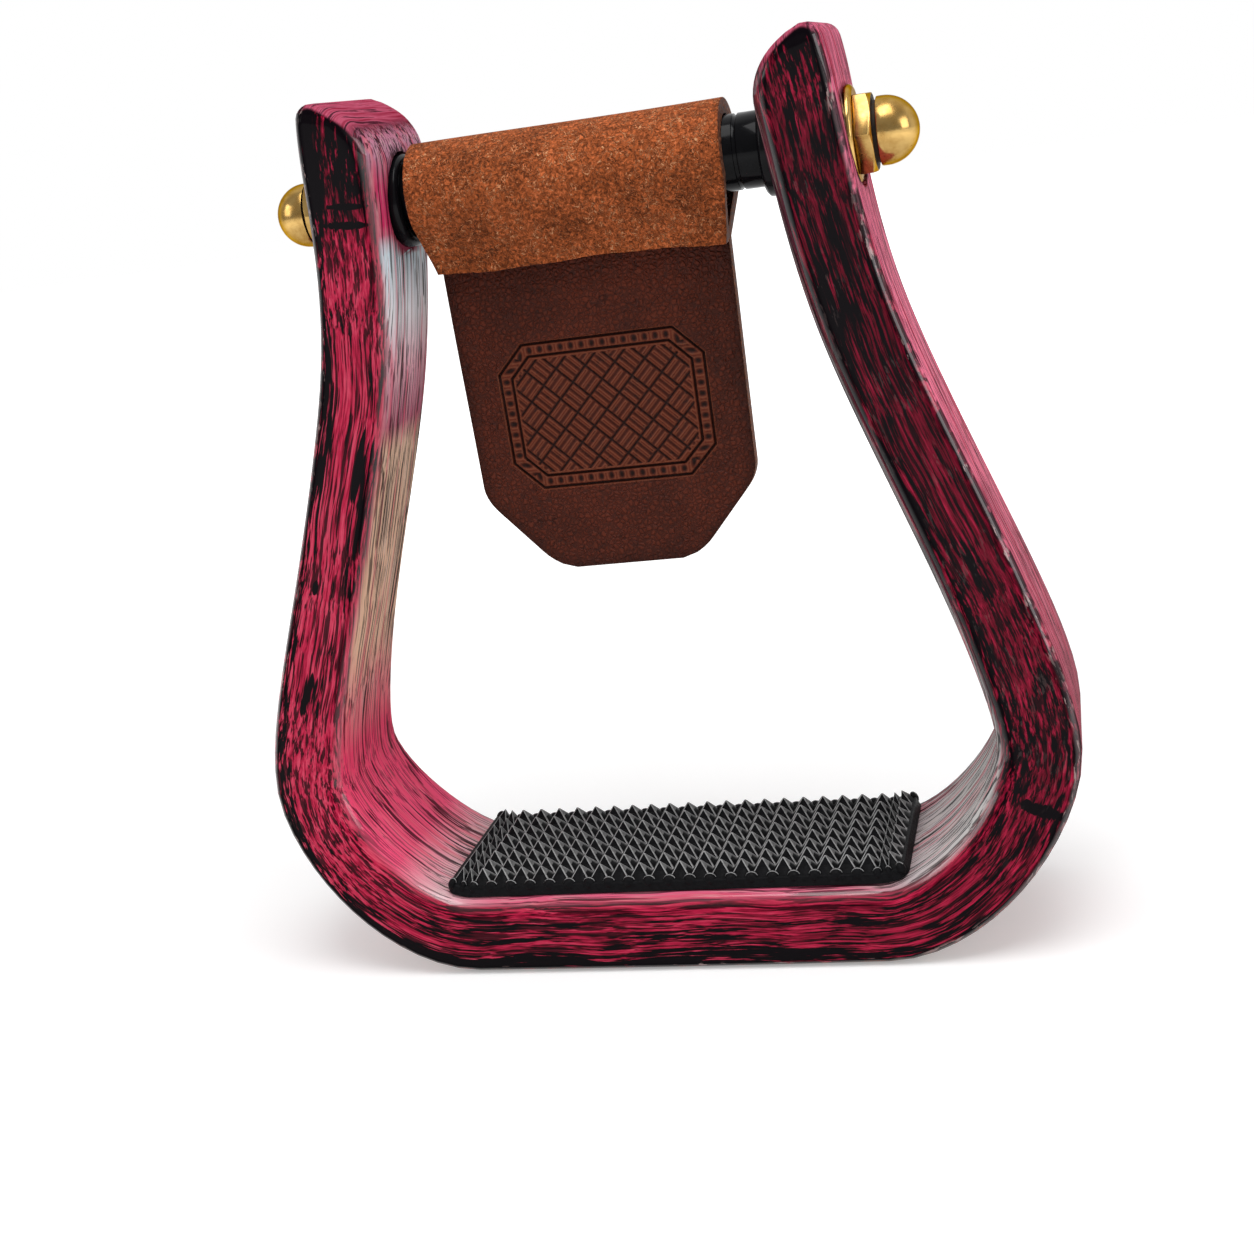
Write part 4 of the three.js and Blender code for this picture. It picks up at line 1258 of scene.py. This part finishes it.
class STIRRUP_OT_cap_nuts(bpy.types.Operator):
    """Makes the two domed brass cap nuts"""

    bl_idname = "stirrup.cap_nuts"
    bl_label = "Cap nuts"

    def execute(self, context):
        sizes = context.scene.stirrup_hardware
        back, face = NUT_BACK, NUT_BACK + sizes.nut_hex_height
        flat = sizes.nut_across_flats / 2
        corner = flat / math.cos(math.pi / 6)
        # how far the tools reach past the brass
        spare = 0.001
        nut = rod(corner, back, face, vertices=6)
        nut.name = "cap_nut_right_fine"
        chamfer, rim = face - sizes.nut_chamfer, flat - 0.00015
        cone = turned("nut_chamfer", [
            (back - spare, 0), (back - spare, corner + spare), (chamfer, corner + spare),
            (chamfer, corner), (face, rim), (face, 0),
        ])
        cut(nut, cone, "INTERSECT")
        ease(nut, width=0.00016, segments=3, degrees=25)
        dome, groove, start = self.dome(sizes, back, face)
        for piece in (dome, nut):
            hole = sizes.bolt_diameter / 2 + sizes.brass_clearance
            cut(piece, rod(hole, back - 2 * spare, NUT_TIP - sizes.nut_floor, vertices=48))
        join(nut, dome)
        paint(nut, "bright_brass", "groove_tarnish")
        # painted shade: the groove under the dome gets the near-black finish
        reach = groove + 0.0005
        for polygon in nut.data.polygons:
            x, y, z = polygon.center
            in_groove = face - NEAR < x < start + NEAR and math.hypot(y, z) < reach
            polygon.material_index = int(in_groove)
        dress_pair(nut, "cap_nut", 30)
        return {"FINISHED"}

    @staticmethod
    def dome(sizes, back, face):
        """The dome with its foot inside the hex, its groove's radius and the place where the groove ends"""
        groove, r = sizes.nut_groove_diameter / 2, sizes.nut_dome_diameter / 2
        start = face + sizes.nut_groove_width
        centre = start + sizes.nut_dome_land
        # its foot is a little thinner, and starts a little way inside the hex
        foot, inside, steps = groove - 0.0002, back + 0.0005, 20
        profile = [
            (inside, 0), (inside, foot), (face, foot), (face + 0.00002, groove), (start, groove),
            (start, r - 0.00025), (start + 0.00008, r - 0.00006), (start + 0.00025, r),
        ]
        for i in range(steps):
            turn = i / steps * QUARTER
            profile.append((centre + r * math.sin(turn), r * math.cos(turn)))
        profile.append((centre + r, 0))
        return turned("nut_dome", profile), groove, start


def strap_points(sizes):
    """The folded strap's centre line from the side, from the raw front edge to the flap's lower edge"""
    wrap = ROLLER_RADIUS + sizes.roller_gap + sizes.thickness / 2
    front = -(sizes.thickness + sizes.layer_gap)
    cos, sin = math.cos(sizes.hug), math.sin(sizes.hug)
    slack = sizes.pinch_drop * 0.36
    pinch, foot = -sizes.pinch_drop - sizes.thickness, -FLAP_DROP
    third = (foot - pinch) / 3
    edge_lean = 0.0004
    first = (front, -sizes.edge_drop)
    points = [(first, first, (front - edge_lean, -sizes.edge_drop + slack))]
    turns = 8
    sweep = math.pi + 2 * sizes.hug
    reach = 4 / 3 * math.tan(sweep / turns / 4) * wrap
    for i in range(turns + 1):
        a = math.pi + sizes.hug - sweep * i / turns
        x, z = wrap * math.cos(a), wrap * math.sin(a)
        dx, dz = math.sin(a) * reach, -math.cos(a) * reach
        before, after = (x - dx, z - dz), (x + dx, z + dz)
        if i == 0:
            before = (-wrap * cos + slack * sin, -wrap * sin - slack * cos)
        if i == turns:
            after = (wrap * cos - slack * sin, -wrap * sin - slack * cos)
        points.append(((x, z), before, after))
    points.append(((0, pinch), (0, pinch + sizes.thickness), (0, pinch + third)))
    points.append(((0, foot), (0, foot - third), (0, foot)))
    return points


def strap_half_width(sizes, drop):
    """Half of the strap's width at a height below the bolt"""
    wrap = (KEEPER_RIGHT - KEEPER_LEFT) / 2
    foot = FLAP_DROP
    knee = foot - sizes.flap_corner_height
    top, low, bottom = wrap - sizes.flap_top_inset, wrap - sizes.flap_low_inset, sizes.flap_bottom_half
    if drop < sizes.edge_drop:
        narrowing = (drop - sizes.shoulder_drop) / (sizes.edge_drop - sizes.shoulder_drop)
        return wrap + (top - wrap) * max(narrowing, 0)
    if drop < knee:
        width = top + (low - top) * (drop - sizes.edge_drop) / (knee - sizes.edge_drop)
    else:
        width = low + (bottom - low) * (drop - knee) / (foot - knee)
    # the cut corners are eased
    r, reach = sizes.flap_corner_round, sizes.flap_corner_round * 0.75
    slope = (low - bottom) / (foot - knee)
    near_knee = max(1 - abs(drop - knee) / reach, 0)
    near_foot = max(1 - (foot - drop) / r, 0)
    rounded = 0.9 * r * (1 - math.sqrt(max(0, 1 - near_foot ** 2)))
    return width - slope * reach * near_knee ** 2 / 4 - rounded


def panel_edge(sizes, u, v):
    """How far inside the stamped panel a place lies; the panel's corners are cut"""
    across, up = sizes.panel_width / 2, sizes.panel_height / 2
    corner = (across + up - sizes.panel_corner - np.abs(u) - np.abs(v)) / math.sqrt(2)
    return np.minimum(np.minimum(across - np.abs(u), up - np.abs(v)), corner)


def stamp_depth(sizes, u, v):
    """How deep the tooling goes at places in the panel: a basket weave in a beaded border.

    u and v are arrays from the panel's middle. 0 is the untouched leather and 1 the deepest mark.
    """
    across, up = sizes.panel_width / 2, sizes.panel_height / 2
    edge = panel_edge(sizes, u, v)
    # the border's outer line, beads and inner line, and the start of the weave, from the panel's edge
    outer_line, bead_line, inner_line, weave_start = 0.0006, 0.00185, 0.0031, 0.0036
    line_width, bead_half, weave_rise = 0.00028, 0.0010, 0.0003
    lines = sum(np.exp(-((edge - line) / line_width) ** 2) for line in (outer_line, inner_line))
    run = np.where(np.abs(u) / across > np.abs(v) / up, v, u)
    between = 0.5 - np.cos(run / sizes.bead_pitch * 2 * math.pi) * 0.5
    beads = np.clip(1 - ((edge - bead_line) / bead_half) ** 2, 0, 1) * between * 0.8
    # weave: each cell has three bars, turned a quarter from its neighbours
    slant = math.pi / 4
    a = (u * math.cos(slant) + v * math.sin(slant)) / sizes.weave_pitch
    b = (-u * math.sin(slant) + v * math.cos(slant)) / sizes.weave_pitch
    i, j = np.floor(a), np.floor(b)
    odd = np.mod(i + j, 2) > 0.5
    along_bar, over = np.where(odd, a - i, b - j), np.where(odd, b - j, a - i)
    bars = (0.5 + 0.5 * np.cos(over * 3 * 2 * math.pi)) * 0.55
    ends = np.clip((np.abs(along_bar - 0.5) - 0.34) / 0.16, 0, 1) ** 1.5 * 0.9
    sides = np.clip((np.abs(over - 0.5) - 0.42) / 0.08, 0, 1) * 0.9
    weave = np.maximum(np.maximum(bars, ends), sides) * np.clip((edge - weave_start) / weave_rise, 0, 1)
    depth = np.maximum(np.maximum(lines, beads), weave)
    return np.where(edge > 0, np.clip(depth, 0, 1), 0)


class STIRRUP_OT_keeper(bpy.types.Operator):
    """Cuts the strap flat, stamps it, and folds it over the roller with its flap hanging"""

    bl_idname = "stirrup.keeper"
    bl_label = "Leather keeper"

    def execute(self, context):
        sizes = context.scene.stirrup_keeper
        points = strap_points(sizes)
        line, run = sampled(points, 120)
        total = run[-1]
        deselect()
        bpy.ops.mesh.primitive_grid_add(x_subdivisions=150, y_subdivisions=50, size=1)
        strap = bpy.context.object
        strap.name = "keeper_strap"
        strap.scale = (total, 2, 1)
        strap.location = (total / 2, 0, 0)
        strap.rotation_euler = (QUARTER, 0, 0)
        settle(strap)

        def half_widths(place):
            return np.array([strap_half_width(sizes, -h) for h in np.interp(place[:, 0], run, line[:, 1])])

        # rows close up towards the cut corners, and each takes the strap's width there
        crowding, raw_reach = 0.028, 0.006
        place = points_of(strap.data)
        share = np.clip(place[:, 0] / total, 0, 1)
        place[:, 0] = total * (share + crowding * np.sin(share * math.pi * 2))
        place[:, 2] *= half_widths(place)
        # the raw front edge wavers
        near_edge = np.clip(1 - place[:, 0] / raw_reach, 0, 1)
        z = place[:, 2]
        waves = 0.0004 * np.sin(z * 130 + 0.6) + 0.00012 * np.sin(z * 420) + 0.00006 * np.sin(z * 1900)
        place[:, 0] += near_edge * (waves - 0.0005 * z / 0.03)
        move_points(strap.data, place)
        modify(strap, "SOLIDIFY", thickness=sizes.thickness, offset=0, use_rim=True, use_even_offset=True)
        open_edit(strap)
        bpy.ops.mesh.normals_make_consistent(inside=False)
        close_edit(strap)
        paint(strap, "suede", "grain_leather", "leather_edge")
        for polygon in strap.data.polygons:
            polygon.material_index = 0 if polygon.normal.y > 0.5 else 1 if polygon.normal.y < -0.5 else 2

        # stamped panel: the grain side is cut finer there and pressed in
        middle = total - (FLAP_DROP - sizes.panel_drop)
        margin, panel_fade, rim_reach = 0.0015, 0.0006, 0.0035
        across, up = sizes.panel_width / 2 + margin, sizes.panel_height / 2 + margin
        open_edit(strap)

        def in_panel(face):
            centre = face.calc_center_median()
            return face.normal.y < -0.5 and abs(centre.x - middle) < up and abs(centre.z) < across

        pick(strap, "faces", in_panel)
        bpy.ops.mesh.subdivide(number_cuts=4, quadcorner="STRAIGHT_CUT")
        close_edit(strap)
        place = points_of(strap.data)
        x, y, z = place.T
        grain_side = y < -sizes.thickness * 0.45
        stamp = np.where(grain_side, stamp_depth(sizes, z, middle - x), 0)
        panel = np.where(grain_side, np.clip(panel_edge(sizes, z, middle - x) / panel_fade, 0, 1), 0)
        # how near a point is to the strap's cut edge
        to_edge = np.minimum(half_widths(place) - np.abs(z), total - x)
        rim = np.clip(1 - to_edge / rim_reach, 0, 1) ** 1.5
        # with a little life in the flat leather
        y += stamp * sizes.panel_depth + 0.00022 * np.sin(x * 95 + 1.0) * np.sin(z * 70 + 0.5)
        move_points(strap.data, place)
        for name, values in (("stamp", stamp), ("rim", rim), ("panel", panel)):
            store(strap.data, name, values)
        ease(strap, width=0.0006, segments=3, degrees=70)
        bend(strap, points)
        settle(strap, Matrix.Translation(((KEEPER_LEFT + KEEPER_RIGHT) / 2, 0, BOLT_HEIGHT)) @ SIDEWAYS)
        smooth(strap, 60)
        dress(strap, "keeper", "leather_keeper")
        return {"FINISHED"}


class STIRRUP_OT_stage(bpy.types.Operator):
    """Sets up the pale floor, the white surroundings, the softboxes and the camera"""

    bl_idname = "stirrup.stage"
    bl_label = "Stage"

    def execute(self, context):
        sizes, scene = context.scene.stirrup_stage, context.scene
        deselect()
        bpy.ops.mesh.primitive_plane_add(size=sizes.floor_size, location=(0, 0, -0.0001))
        floor = settle(bpy.context.object)
        floor.name = "floor"
        made = bpy.data.materials.new("pale_floor")
        made.use_nodes = True
        tree = made.node_tree
        tree.nodes.clear()
        camera_ray, mirror_ray, place = self.rays_and_place(tree, "Object")
        away = node(tree, "ShaderNodeVectorMath", {0: place}, "Value", operation="LENGTH")
        # the floor whitens with distance, so that it meets the white surroundings without a line
        lift = camera_ray.larger(mirror_ray) * away.step(0.12, 0.60, sizes.floor_lift, 1.0)
        matt = node(tree, "ShaderNodeBsdfDiffuse", {"Color": (0.80, 0.80, 0.80, 1)})
        glow = node(tree, "ShaderNodeEmission", {"Color": (1, 1, 1, 1), "Strength": lift})
        both = node(tree, "ShaderNodeAddShader", {0: matt, 1: glow})
        node(tree, "ShaderNodeOutputMaterial", {"Surface": both}, None)
        floor.data.materials.append(made)

        world = bpy.data.worlds.new("studio")
        scene.world = world
        world.use_nodes = True
        tree = world.node_tree
        tree.nodes.clear()
        camera_ray, mirror_ray, way = self.rays_and_place(tree, "Generated")
        _, ahead, upward = way.parts()
        glow = upward.step(-0.2, 0.9, sizes.sky_strength * 0.8, sizes.sky_strength * 1.2)
        # mirrors see the white backdrop behind the object and the darker room in front of it
        strength = glow.larger(camera_ray.larger(mirror_ray * ahead.step(-0.25, 0.35)))
        sky = node(tree, "ShaderNodeBackground", {"Color": (1, 1, 1, 1), "Strength": strength})
        node(tree, "ShaderNodeOutputWorld", {"Surface": sky}, None)

        for name, place, size, power in (
            ("overhead_softbox", (0.10, -0.20, 0.80), 0.45, sizes.key_strength),
            ("left_softbox", (-0.75, -0.35, 0.45), 0.40, sizes.fill_strength),
            ("right_softbox", (0.80, -0.20, 0.35), 0.40, sizes.fill_strength),
        ):
            deselect()
            bpy.ops.object.light_add(type="AREA", location=place)
            lamp = bpy.context.object
            lamp.name = name
            lamp.data.shape = "SQUARE"
            lamp.data.size = size
            lamp.data.energy = power
            aim = Vector((0, 0, 0.09)) - Vector(place)
            lamp.rotation_euler = aim.to_track_quat("-Z", "Y").to_euler()

        deselect()
        bpy.ops.object.camera_add()
        camera = bpy.context.object
        camera.name = "photo_camera"
        turn = Matrix.Rotation(sizes.camera_turn, 4, "Z")
        rise = Matrix.Rotation(QUARTER - sizes.camera_rise, 4, "X")
        roll = Matrix.Rotation(sizes.camera_roll, 4, "Z")
        away = Matrix.Translation((0, 0, sizes.camera_distance))
        camera.matrix_world = Matrix.Translation(sizes.camera_aim) @ turn @ rise @ roll @ away
        camera.data.lens = sizes.focal_length
        camera.data.sensor_width = 36
        camera.data.clip_start = 0.01
        camera.data.clip_end = 50
        scene.camera = camera
        scene.view_settings.view_transform = "Standard"
        return {"FINISHED"}

    @staticmethod
    def rays_and_place(tree, output):
        """1 for rays from the camera, 1 for mirrored rays, and coordinates of one kind"""
        camera_ray = node(tree, "ShaderNodeLightPath", output="Is Camera Ray")
        mirror_ray = node(tree, "ShaderNodeLightPath", output="Is Glossy Ray")
        return camera_ray, mirror_ray, node(tree, "ShaderNodeTexCoord", output=output)


GROUPS = {
    "stirrup_band": StirrupBandSizes,
    "stirrup_tread": StirrupTreadSizes,
    "stirrup_keeper": StirrupKeeperSizes,
    "stirrup_hardware": StirrupHardwareSizes,
    "stirrup_finishes": StirrupFinishes,
    "stirrup_stage": StirrupStageSizes,
}
OPERATORS = (
    STIRRUP_OT_band, STIRRUP_OT_tread, STIRRUP_OT_bolt, STIRRUP_OT_collars, STIRRUP_OT_roller,
    STIRRUP_OT_washers, STIRRUP_OT_cap_nuts, STIRRUP_OT_keeper, STIRRUP_OT_stage,
)


class STIRRUP_PT_panel(bpy.types.Panel):
    """Lists the pieces and their sizes in the sidebar"""

    bl_idname = "STIRRUP_PT_panel"
    bl_label = "Bell stirrup"
    bl_space_type = "VIEW_3D"
    bl_region_type = "UI"
    bl_category = "Stirrup"

    def draw(self, context):
        for operator in OPERATORS:
            self.layout.operator(operator.bl_idname)
        for slot, kind in GROUPS.items():
            part = self.layout.box()
            part.label(text=kind.__doc__)
            for name in kind.__annotations__:
                part.prop(getattr(context.scene, slot), name)


def register():
    """Registers the sizes, the operators and the panel"""
    for kind in (*GROUPS.values(), *OPERATORS, STIRRUP_PT_panel):
        bpy.utils.register_class(kind)
    for slot, kind in GROUPS.items():
        setattr(bpy.types.Scene, slot, PointerProperty(type=kind))


def unregister():
    """Undoes register"""
    for slot in GROUPS:
        delattr(bpy.types.Scene, slot)
    for kind in reversed((*GROUPS.values(), *OPERATORS, STIRRUP_PT_panel)):
        bpy.utils.unregister_class(kind)


def main():
    """Makes every piece in order"""
    register()
    for operator in OPERATORS:
        area, name = operator.bl_idname.split(".")
        getattr(getattr(bpy.ops, area), name)()
    deselect()


if __name__ == "__main__":
    main()
